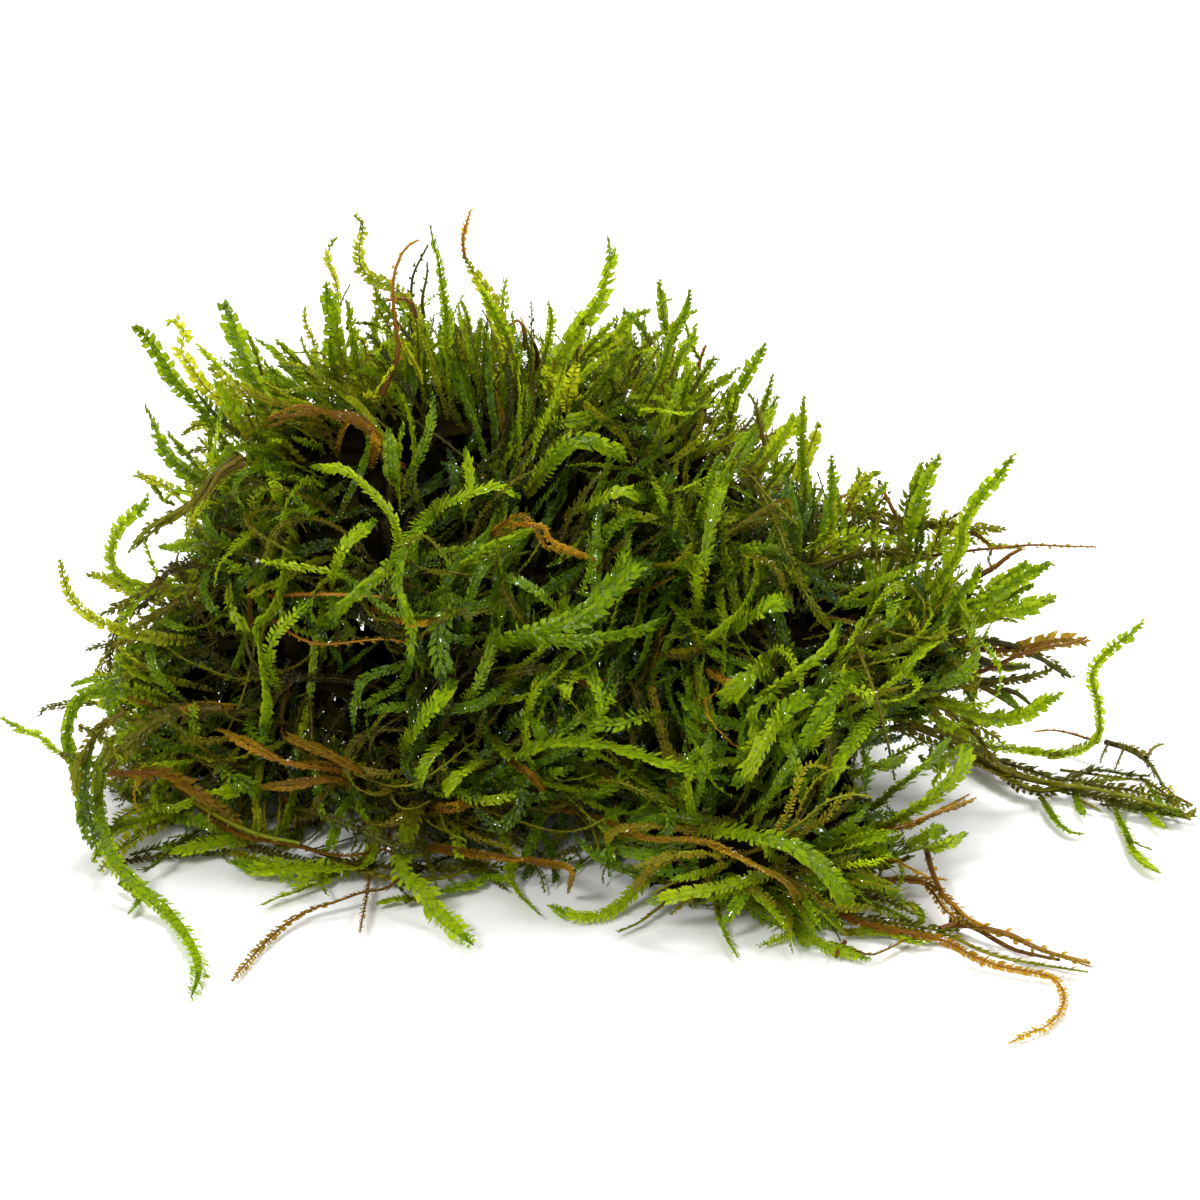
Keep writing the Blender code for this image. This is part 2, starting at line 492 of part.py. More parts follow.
def grow_tufts(mat, taken, hollows):
    """Short shoots fused to the cushion, clear of the hollows, of the points already taken and of each other:
    single faces are drawn out along a line, wider and narrower like leaves."""
    bm = bmesh.new()
    bm.from_mesh(mat.data)
    rng = Random(TUFT_SEED)
    grown = []
    for face in rng.sample(bm.faces[:], len(bm.faces)):
        line = tuft_line(face, rng)
        root = line[0]
        too_low = root.z < TUFT_LOWEST * MM
        too_small = face.calc_area() < TUFT_LEAST_AREA * MM**2
        too_near = any((root - other[0]).length < TUFT_SPACING * MM for _, other in grown)
        in_hollow = any((root / MM - middle).length < radius + HOLLOW_RIM for middle, radius, _ in hollows)
        if too_low or too_small or too_near or in_hollow:
            continue
        crowded = any((a - b).length < TUFT_ROOM * MM for a in line[2:] for b in taken)
        if not crowded and len(grown) < MOST_TUFTS:
            grown.append((face, line))
            taken.extend(line[2:])
    for face, line in grown:
        corners = [vert.co - line[0] for vert in face.verts]
        for middle, width in zip(line[1:], TUFT_WIDTHS):
            face = bmesh.ops.extrude_discrete_faces(bm, faces=[face])["faces"][0]
            for vert, corner in zip(face.verts, corners):
                vert.co = middle + corner * width
    bmesh.ops.triangulate(bm, faces=bm.faces[:])
    bm.to_mesh(mat.data)
    bm.free()


def back_route(angle, height, length, rise):
    """A shoot behind: it leaves the cushion outwards and bends up towards its tip."""
    out = Vector((cos(radians(angle)), sin(radians(angle)), 0))
    drawn_in = 1 - DRAWN_IN_AT_TOP * (height / TOP_OF_MAT) ** 2
    root = BACK_MIDDLE + Vector((out.x * BACK_REACH.x, out.y * BACK_REACH.y, 0)) * drawn_in
    root.z = height
    points = [root]
    for i in range(1, BACK_STEPS + 1):
        climb = radians(rise) * i / BACK_STEPS
        points.append(points[-1] + (out * cos(climb) + Vector((0, 0, sin(climb)))) * length / BACK_STEPS)
    return points


def main():
    for old in list(bpy.data.objects):
        bpy.data.objects.remove(old)
    clump = Clump()
    towards_eye = (EYE - SIGHT_MIDDLE).normalized()
    for name, colour, width, base, tip, points in STANDING:
        route = [seen(*p, between(base, tip, share)) for p, share in zip(points, shares(points))]
        shoot(clump, name, colour, width, route, towards_eye)
    for name, colour, width, base, tip, points in WIRY:
        route = [seen(*p, between(base, tip, share)) for p, share in zip(points, shares(points))]
        shoot(clump, name, colour, width, route, towards_eye, leafy=False)
    for name, colour, width, base, tip, points in LYING:
        settled = [between(base, tip, min(1, share / SETTLED_BY)) for share in shares(points)]
        route = [on_ground(*p, height) for p, height in zip(points, settled)]
        shoot(clump, name, colour, width, route, Vector((0, 0, 1)))
    name, colour, width, points = RISING
    shoot(clump, name, colour, width, [seen(*p) for p in points], towards_eye)
    for name, angle, height, length, rise, width, colour in BEHIND:
        shoot(clump, name, colour, width, back_route(angle, height, length, rise), Vector((0, 0, 1)))
    grow_tufts(clump.mat, clump.taken, clump.hollows)


main()
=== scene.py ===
# %% [markdown]
# # A clump of wet moss
# This is a handful of moss as it was picked, lying on a table. It has three kinds of thing in it. Hundreds
# of leafy shoots tangle into a cushion. Longer shoots stand up from its crown or trail away over the
# ground. Old shoots have lost their leaves and are left as bare olive or rust-brown stems. The packed
# solids give the places: one solid for the cushion and one for each shoot that stands clear. Here every one
# of them is replaced by real shoots, each a thin stem with rows of tiny leaves.

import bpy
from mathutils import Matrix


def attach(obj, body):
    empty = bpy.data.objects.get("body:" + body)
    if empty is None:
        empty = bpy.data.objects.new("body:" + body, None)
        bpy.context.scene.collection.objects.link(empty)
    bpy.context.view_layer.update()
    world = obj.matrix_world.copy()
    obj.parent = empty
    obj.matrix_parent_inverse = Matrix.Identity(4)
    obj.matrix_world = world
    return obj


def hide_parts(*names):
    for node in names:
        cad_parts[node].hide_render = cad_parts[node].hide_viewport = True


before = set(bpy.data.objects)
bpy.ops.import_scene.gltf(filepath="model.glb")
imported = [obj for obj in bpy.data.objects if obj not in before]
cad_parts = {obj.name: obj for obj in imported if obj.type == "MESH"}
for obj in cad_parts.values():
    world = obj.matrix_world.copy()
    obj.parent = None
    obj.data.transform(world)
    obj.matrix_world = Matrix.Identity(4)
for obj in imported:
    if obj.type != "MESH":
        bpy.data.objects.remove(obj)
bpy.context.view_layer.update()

# %% Modules and units
from math import cos, pi, radians, sin
from types import SimpleNamespace

import bmesh
import bpy
import numpy as np
from mathutils import Vector, noise
from mathutils.bvhtree import BVHTree

MM = 0.001
print("one millimetre is", MM, "m")


# %% [markdown]
# ## Where a shoot lies
# A shoot's route is drawn the way it is seen: how far across and how far up, in millimetres, on a plane
# that faces an eye looking down on the clump by 25 degrees. One more number says how deep it lies. It is
# how far back for a shoot that stands, the height above the ground for one that lies, and for one on the
# cushion's face, how far it stands off the cushion. This way a route is short to write and still has a
# place in space, so the clump holds together from every side.

# %% The sight plane
SIGHT_TILT = radians(25)
SIGHT_DISTANCE = 400
SIGHT_MIDDLE = Vector((0, -4, 27))
SIGHT_UP = Vector((0, sin(SIGHT_TILT), cos(SIGHT_TILT)))
TOWARDS_EYE = Vector((0, -cos(SIGHT_TILT), sin(SIGHT_TILT)))
EYE = SIGHT_MIDDLE + SIGHT_DISTANCE * TOWARDS_EYE


def sight_line(across, up):
    """The way from the eye to a point of the sight plane."""
    return SIGHT_MIDDLE + Vector((across, up * sin(SIGHT_TILT), up * cos(SIGHT_TILT))) - EYE


def seen(across, up, back):
    """The point on a sight line that lies this far back."""
    line = sight_line(across, up)
    return EYE + line * ((SIGHT_MIDDLE.y + back - EYE.y) / line.y)


def on_ground(across, up, height):
    """The point on a sight line that lies this high above the ground."""
    line = sight_line(across, up)
    return EYE + line * ((height - EYE.z) / line.z)


def as_seen(point):
    """Across and up of a point in space."""
    line = point - EYE
    on_plane = EYE + line * (SIGHT_DISTANCE / -line.dot(TOWARDS_EYE)) - SIGHT_MIDDLE
    return on_plane.x, on_plane.dot(SIGHT_UP)


print("the eye is at", *(round(place) for place in EYE))

# %% [markdown]
# ## Camera, table and light
# The camera stands where the eye of the sight plane is. The table is one large white sheet that fills the
# view, so there is no horizon. Moss is thin and lets light through, and it looks alive when a wide soft
# light stands above and behind it: the tips glow and the hollows stay dark. A weaker one from the front
# lights the ribbons that face the camera.


# %% Put things in the scene
def placed(name, data, place=(0, 0, 0), faces=None):
    """A new object in the scene, turned to a point where one is given."""
    made = bpy.data.objects.new(name, data)
    made.location = place
    if faces is not None:
        made.rotation_euler = (Vector(place) - faces).to_track_quat("Z", "Y").to_euler()
    bpy.context.scene.collection.objects.link(made)
    return made


# %% Camera
LENS, SENSOR, NEAREST = 120, 36, 0.01
camera = placed("camera", bpy.data.cameras.new("camera"), EYE * MM)
camera.rotation_euler = TOWARDS_EYE.to_track_quat("Z", "Y").to_euler()
camera.data.lens = LENS
camera.data.sensor_width = SENSOR
camera.data.clip_start = NEAREST
bpy.context.scene.camera = camera
print("the camera stands", SIGHT_DISTANCE, "mm away")

# %% Table
TABLE_SIZE = 4.0
TABLE_WHITE, TABLE_ROUGHNESS = (0.90, 0.90, 0.90, 1), 0.6
bm = bmesh.new()
bmesh.ops.create_grid(bm, x_segments=1, y_segments=1, size=TABLE_SIZE / 2)
table_mesh = bpy.data.meshes.new("table")
bm.to_mesh(table_mesh)
bm.free()
white = bpy.data.materials.new("white table")
white.use_nodes = True
paint = white.node_tree.nodes["Principled BSDF"]
paint.inputs["Base Color"].default_value = TABLE_WHITE
paint.inputs["Roughness"].default_value = TABLE_ROUGHNESS
table_mesh.materials.append(white)
table = placed("table", table_mesh)
print("the table is", TABLE_SIZE, "m wide")

# %% Light: place and size in metres, and watts
LIGHTS = {
    "light above and behind": ((0.05, 0.22, 0.60), 0.24, 4.0),
    "light in front": ((-0.28, -0.40, 0.45), 0.14, 2.4),
    "light on the right": ((0.42, -0.05, 0.42), 0.12, 1.0),
}
ROOM_LIGHT = 0.68
for name, (place, size, watts) in LIGHTS.items():
    light = bpy.data.lights.new(name, "AREA")
    light.shape = "SQUARE"
    light.size = size
    light.energy = watts
    placed(name, light, place, SIGHT_MIDDLE * MM)
room = bpy.data.worlds.new("white room")
room.use_nodes = True
room.node_tree.nodes["Background"].inputs["Color"].default_value = (1, 1, 1, 1)
room.node_tree.nodes["Background"].inputs["Strength"].default_value = ROOM_LIGHT
bpy.context.scene.world = room
bpy.context.scene.view_settings.view_transform = "Standard"
print(len(LIGHTS), "soft lights in a white room")

# %% [markdown]
# ## The shoots that stand clear
# These are the shoots that have a solid each: tips on the crown, arms and strands on the ground, bare
# stems. Each row is a name, a kind, the leafy width in millimetres, two depths for the base and the tip,
# and the route.

# %% Shoots that stand
STANDING = [
    ("crown_shoot_1", "fresh", 1.6, 9, 4, [(-35.5, 13), (-36.8, 15), (-38.8, 17.5), (-40.5, 19.8),
     (-42.5, 21.8), (-44, 24.2), (-45.2, 26.2), (-46.6, 27.3)]),
    ("crown_shoot_2", "pale", 1.4, 16, 18, [(-36.5, 18), (-37.8, 20), (-39.5, 21.2), (-40.8, 23.3),
     (-41.9, 24.8), (-41.6, 26.5), (-42.2, 27.9), (-43.3, 27.6)]),
    ("crown_shoot_3", "fresh", 2, 8, 10, [(-33, 18.5), (-34, 21), (-35.3, 23.5), (-36.2, 25.5),
     (-36.9, 27.8), (-37.7, 29.7)]),
    ("crown_shoot_4", "pale", 0.9, 16, 19, [(-27.6, 24), (-26.8, 26.5), (-26.2, 28.5), (-26.2, 30.5),
     (-26.5, 32.2), (-27.1, 33.8), (-27.2, 35), (-26.3, 36.3)]),
    ("crown_shoot_5", "fresh", 1.6, 9, 8, [(-26.6, 23), (-26.8, 25), (-26.7, 27.5), (-27.2, 30),
     (-27.4, 31.7)]),
    ("crown_shoot_6", "pale", 1.1, 14, 12, [(-18.2, 25), (-18.4, 28), (-19.6, 30.4), (-20.8, 31.3),
     (-22.5, 32), (-23.9, 33.2), (-24.1, 35.2), (-23.7, 37.4), (-24.6, 38.5)]),
    ("crown_shoot_7", "fresh", 1.2, 8, 5, [(-15.2, 24.5), (-15.3, 27.5), (-15.5, 29.5), (-15.9, 31.5),
     (-16.1, 33.5), (-16.6, 35.5), (-17, 37.5)]),
    ("crown_shoot_8", "pale", 1.1, 12, 12, [(-9.2, 24.5), (-10, 28), (-10.5, 29.5), (-11.5, 31.3),
     (-12.6, 32.8), (-13.5, 34.2), (-13.7, 35.7), (-13.5, 37.2), (-12.9, 39)]),
    ("crown_shoot_9", "fresh", 0.9, 15, 14, [(-5.8, 22.5), (-5.5, 24.5), (-5.1, 26.2), (-4.8, 28.2),
     (-5.2, 29.8)]),
    ("crown_shoot_10", "fresh", 1.7, 9, 9, [(-5, 22.5), (-3.5, 25), (-2.5, 26.5), (-1, 28.5), (0.2, 30.5),
     (0.6, 32.5), (1, 34.5), (0.8, 36.1)]),
    ("crown_shoot_11", "fresh", 1.1, 17, 19, [(6.9, 23.5), (6.8, 26), (6.4, 28), (6.2, 30), (5.9, 31.8)]),
    ("crown_shoot_12", "fresh", 0.9, 8, 8, [(6.2, 23), (7.2, 26.6), (8.3, 28.2), (8.7, 29.5), (9, 31)]),
    ("slope_shoot_1", "fresh", 1.3, 13, 14, [(12.6, 16), (13, 18), (13.3, 20), (14.2, 21.5), (15, 23),
     (16, 24.5), (16.5, 25.5)]),
    ("slope_shoot_2", "fresh", 1.1, 10, 12, [(20.4, 9), (20.5, 11), (20.3, 13), (20.3, 14.5), (20.2, 16.5),
     (20.3, 18.5), (20.4, 20.3)]),
    ("slope_shoot_3", "pale", 1.1, 19, 24, [(14.5, 12.5), (15.5, 14), (17, 15.5), (18.6, 16.8),
     (19.6, 18.2)]),
    ("slope_shoot_4", "fresh", 1.4, 2, 0, [(23, 7), (23, 9), (23.1, 10.5), (23.2, 12.5), (23.1, 14.2)]),
    ("right_shoot_1", "fresh", 1.4, 8, 10, [(30.6, 4.5), (31.2, 7.5), (31.7, 9.5), (32.5, 11.5),
     (33.2, 13.2), (34, 14.4)]),
    ("right_shoot_2", "fresh", 1.4, 2, 0, [(34, 2), (36, 5), (36.2, 7), (36.7, 8.5), (37.8, 10), (39, 11.5),
     (40.5, 13.3), (41.3, 14.5)]),
    ("right_shoot_3", "fresh", 1.5, 5, 4, [(32, -3), (35, -1.5), (38, 0), (40, 1), (41.5, 2), (43.5, 3),
     (45.2, 3.6)]),
    ("right_shoot_4", "fresh", 1.2, 14, 15, [(32, -3.4), (34, -3), (36, -2.8), (38, -2), (40, -1.1),
     (42, -1.1), (44, -0.3), (45.4, 0.2)]),
    ("right_shoot_5", "fresh", 1.3, 3, 1, [(31.5, -9), (35, -10.5), (37.5, -11.5), (39.5, -12), (41, -12),
     (43, -11.3), (44.5, -10.3), (46, -9.6)]),
    ("left_shoot_1", "fresh", 1.1, 11, 12, [(-37, 11.5), (-39.5, 12.5), (-42, 13.5), (-43.5, 14.5),
     (-44.2, 16), (-44.4, 17.2), (-44.8, 18), (-45.5, 19.5)]),
    ("left_shoot_2", "fresh", 1.3, 7, 8, [(-40, 1.2), (-44.5, 1), (-46, 1.4), (-47.5, 2), (-48.7, 3.2),
     (-48.9, 5), (-48.2, 7), (-47.2, 8.2), (-45.8, 9.2), (-45.2, 10.4)]),
    ("left_shoot_3", "olive", 1, 14, 16, [(-41, -1.5), (-43, -0.5), (-45, 0.1), (-47, 0.9), (-48.5, 1.6),
     (-50, 2.3), (-51.3, 2.5)]),
    ("left_shoot_4", "pale", 1.1, 4, 2, [(-43, -4), (-46, -3.5), (-48, -3), (-49.7, -2.3), (-51.2, -1.5),
     (-52.8, 0), (-53.6, 2), (-54, 4)]),
    ("left_stem_bundle", "olive", 1.5, 1, -2, [(-36, 14), (-38, 12.5), (-40, 10.5), (-42.5, 8.5), (-45, 7),
     (-46.9, 5.2)]),
    ("far_left_shoot", "fresh", 1, 5, 7, [(-47, -19), (-50, -17.8), (-52, -16.5), (-53.5, -15.5),
     (-55, -14.5), (-56.2, -13.5), (-58, -12.9), (-59.8, -11.8)]),
    ("left_beaded_stem", "olive", 0.8, 12, 12, [(-46, -10), (-49.5, -10.4), (-52, -10.3), (-54, -10.5),
     (-55.5, -10.8), (-56, -11.5)]),
    ("hanging_shoot", "fresh", 1.4, -1, -3, [(-46, -9.2), (-49, -9), (-51.5, -9.4), (-52.7, -10.8),
     (-53.2, -12.5), (-53.3, -14), (-52.8, -16), (-52.2, -18.5), (-51.9, -20), (-51.7, -22),
     (-51.5, -23.6)]),
]

# %% Shoots that lie on the table
LYING = [
    ("right_arm", "olive", 1.2, 11, 0.9, [(30.5, -8), (33.5, -10), (36.5, -12.6), (38, -14), (39.2, -15.8),
     (41, -17), (44, -18), (47, -18.7), (50, -19.7), (53, -20.2), (56, -20.8), (58, -21.4), (59.5, -21.5)]),
    ("right_arm_branch", "fresh", 1.2, 0.9, 0.8, [(51.6, -21.4), (52.5, -23), (53.3, -25), (54.8, -26.5),
     (56, -27.3)]),
    ("right_arm_side_twig", "fresh", 0.9, 1, 0.7, [(44.2, -19.6), (44.6, -20.7), (45.5, -22), (47, -23.2),
     (48.4, -23.4)]),
    ("right_arm_end_loop", "olive", 0.8, 4.4, 2.2, [(51.7, -14.4), (52.6, -14.6), (54, -15.2), (55, -16.5),
     (55.5, -17.8)]),
    ("left_floor_leaf", "pale", 1.5, 1.2, 0.8, [(-43.5, -22), (-45.7, -23), (-47.5, -24.3), (-48.6, -25.6),
     (-50, -27)]),
    ("trailing_shoot", "fresh", 1.6, 8, 1, [(-48.5, -16), (-50, -18), (-50, -21), (-49.6, -23.5),
     (-48.5, -26.2), (-47, -28), (-45, -29.7), (-43, -31.5), (-41.5, -33.5), (-40.4, -35.5), (-40.2, -37.5),
     (-40.9, -39.7)]),
    ("brown_front_strand", "rust", 0.9, 2.4, 0.8, [(-20, -27.8), (-24, -29.3), (-26.5, -30.2), (-29, -31),
     (-31.5, -32.5), (-33.5, -34.3), (-35.5, -36.5), (-36.8, -38.1)]),
    ("front_left_shoot", "fresh", 1.3, 2.6, 1.6, [(-23, -26), (-26, -26.9), (-30, -26.8), (-34, -27),
     (-36.5, -26)]),
    ("near_green_shoot", "fresh", 1.9, 4.2, 1.3, [(-20, -26.5), (-17.6, -29), (-16.5, -30.8), (-14.8, -32.5),
     (-12.7, -34.5)]),
    ("front_middle_shoot", "fresh", 1.2, 3, 0.9, [(-9, -25.5), (-9, -27.5), (-8, -29.5), (-6, -31.5)]),
    ("long_arc_shoot", "fresh", 1.3, 9, 0.9, [(7, -19.5), (6.8, -21.5), (6.2, -24), (5, -27), (2.7, -29.9),
     (0.5, -31.4), (-2.5, -31.6), (-5, -30.5)]),
    ("dark_front_shoot", "olive", 1.1, 2, 0.8, [(11, -27.5), (9, -28.7), (6.4, -30.4), (4, -32.2),
     (1.8, -33.2)]),
    ("front_tip_shoot", "fresh", 1.1, 1.8, 0.8, [(11.6, -30), (12, -32), (12.8, -34), (13.8, -35.8)]),
    ("front_right_strand", "rust", 0.9, 4, 1.9, [(19, -26), (22, -27), (26, -28.2), (30, -28), (32.5, -28.2),
     (34.5, -29.6), (36, -31.5), (37.5, -32.8), (41, -33.7), (44, -35), (47, -36), (49.2, -36.7)]),
    ("hooked_strand", "rust", 0.9, 1.6, 0.7, [(22, -30.5), (25, -31.9), (28, -32.8), (31, -33.4),
     (34.5, -34.1), (37.5, -35.7), (40, -36.6), (43, -37.2), (45.3, -37.8), (46.4, -39.4), (46, -41.2),
     (44.5, -42.7), (42.5, -43.5), (41, -44.3)]),
    ("front_right_shoot", "fresh", 1.2, 1.6, 0.8, [(18.5, -31), (20.5, -33.4), (22.5, -34.6), (24.5, -35.2),
     (27, -35.9)]),
]

# %% Bare wiry stems
WIRY = [
    ("wiry_loop_1", "olive", 0.7, 20, 22, [(-18.6, 25.5), (-18.9, 28), (-18.9, 30.5), (-18.7, 32.5),
     (-17.9, 34.2), (-17.2, 35.5)]),
    ("wiry_loop_2", "rust", 0.8, 9, 9, [(-20.2, 24.5), (-20.4, 27), (-20.7, 30), (-20.6, 32.5), (-20, 34.3),
     (-19.2, 35.4), (-18.2, 36)]),
    ("right_olive_twig", "olive", 1, 16, 20, [(24, 8.5), (26.5, 8.4), (28.5, 7.8), (31, 7.3), (34, 7.6),
     (36.5, 7.2), (38.5, 7.2), (40.2, 7.1)]),
    ("long_brown_stem", "rust", 0.6, 12, 10, [(28.5, 2), (30.5, 3.5), (33, 4.4), (35.5, 4.7), (37.5, 5),
     (40, 5.2), (43, 5.5), (46, 5.4), (49.6, 5.3)]),
    ("amber_strand", "rust", 0.9, 7, 6, [(35, -8.5), (37, -7.6), (39.5, -6.6), (41, -5.9), (43, -5.1),
     (45, -4.6), (47, -4.4), (48.7, -3.7)]),
]

# %% The stem that lies beside the right arm and then stands up. Each point is across, up and back.
RISING = ("rising_shoot", "fresh", 1.2, [(31, -8.5, 10), (33, -11, 12), (35, -12.7, 13), (38, -14.2, 14),
    (41, -14.9, 14), (44, -15.3, 14), (46, -15.5, 14), (48.3, -15, 14), (49.8, -13.8, 14), (50, -12, 14),
    (49.8, -10, 14), (49.3, -8.5, 14), (49.3, -7, 13), (50.3, -5.7, 13), (51.5, -4.5, 12), (53, -3.5, 12),
    (54.2, -2.2, 12)])

# %% Shoots behind: direction seen from above, height, length, rise of the tip, width and kind
BEHIND = [
    ("back_shoot_1", 28, 14, 19, 22, 1.4, "fresh"),
    ("back_shoot_2", 52, 26, 17, 38, 1.5, "fresh"),
    ("back_shoot_3", 84, 34, 15, 50, 1.6, "fresh"),
    ("back_shoot_4", 98, 15, 14, 18, 1.5, "fresh"),
    ("back_shoot_5", 122, 27, 16, 34, 1.3, "pale"),
    ("back_shoot_6", 142, 10, 17, 8, 1.4, "fresh"),
    ("back_shoot_7", 160, 24, 18, 30, 1.4, "fresh"),
]
BACK_MIDDLE = Vector((-6, 6, 0))
BACK_REACH = Vector((30, 27))
DRAWN_IN_AT_TOP = 0.5
TOP_OF_MAT = 48
BACK_STEPS = 5
print(len(STANDING) + len(LYING) + len(WIRY) + len(BEHIND) + 1, "shoots stand clear")

# %% [markdown]
# ## Hollows
# A cushion of moss isn't closed. Between its shoots the eye falls into dark hollows, and the solid has
# dents for the widest. Here no leafy shoot starts in them, and the shoots deep in them have their colour
# darkened as painted shade.

# %% Hollows on the face, as they are seen: across, up and radius
FACE_HOLLOWS = [
    (-25.5, -6.5, 7.5), (-29.5, -2, 4.5), (-22, -12.5, 5), (4.5, -6.5, 6), (10.5, -8.5, 4.5), (20, -3, 4.5),
    (23.5, 2, 4), (-15.5, 14, 4.5), (-15, 6.5, 4.5), (-2, 12.5, 5), (-8, -12.5, 4.5), (-8, -21, 4.5),
    (-37, -6, 5), (3.5, 1, 4)]
# The same behind: direction from above in degrees, height and radius
BACK_HOLLOWS = [
    (12, 24, 5), (40, 17, 6), (66, 30, 5.5), (78, 12, 5.5), (104, 26, 6), (128, 12, 5.5), (140, 32, 5),
    (160, 18, 5.5), (196, 22, 5)]
BARE_SHARE = 0.75

# %% [markdown]
# ## The shoots on the cushion's face, at its edge and round its foot
# The cushion's face has some long ribbons that catch the eye: bright green ones that cross the dark
# hollows, and dried orange ones. They are drawn one by one, and so are the small tips round the edge and
# the strands that lie loose on the table. The rest of the cushion is grown by rule further down.

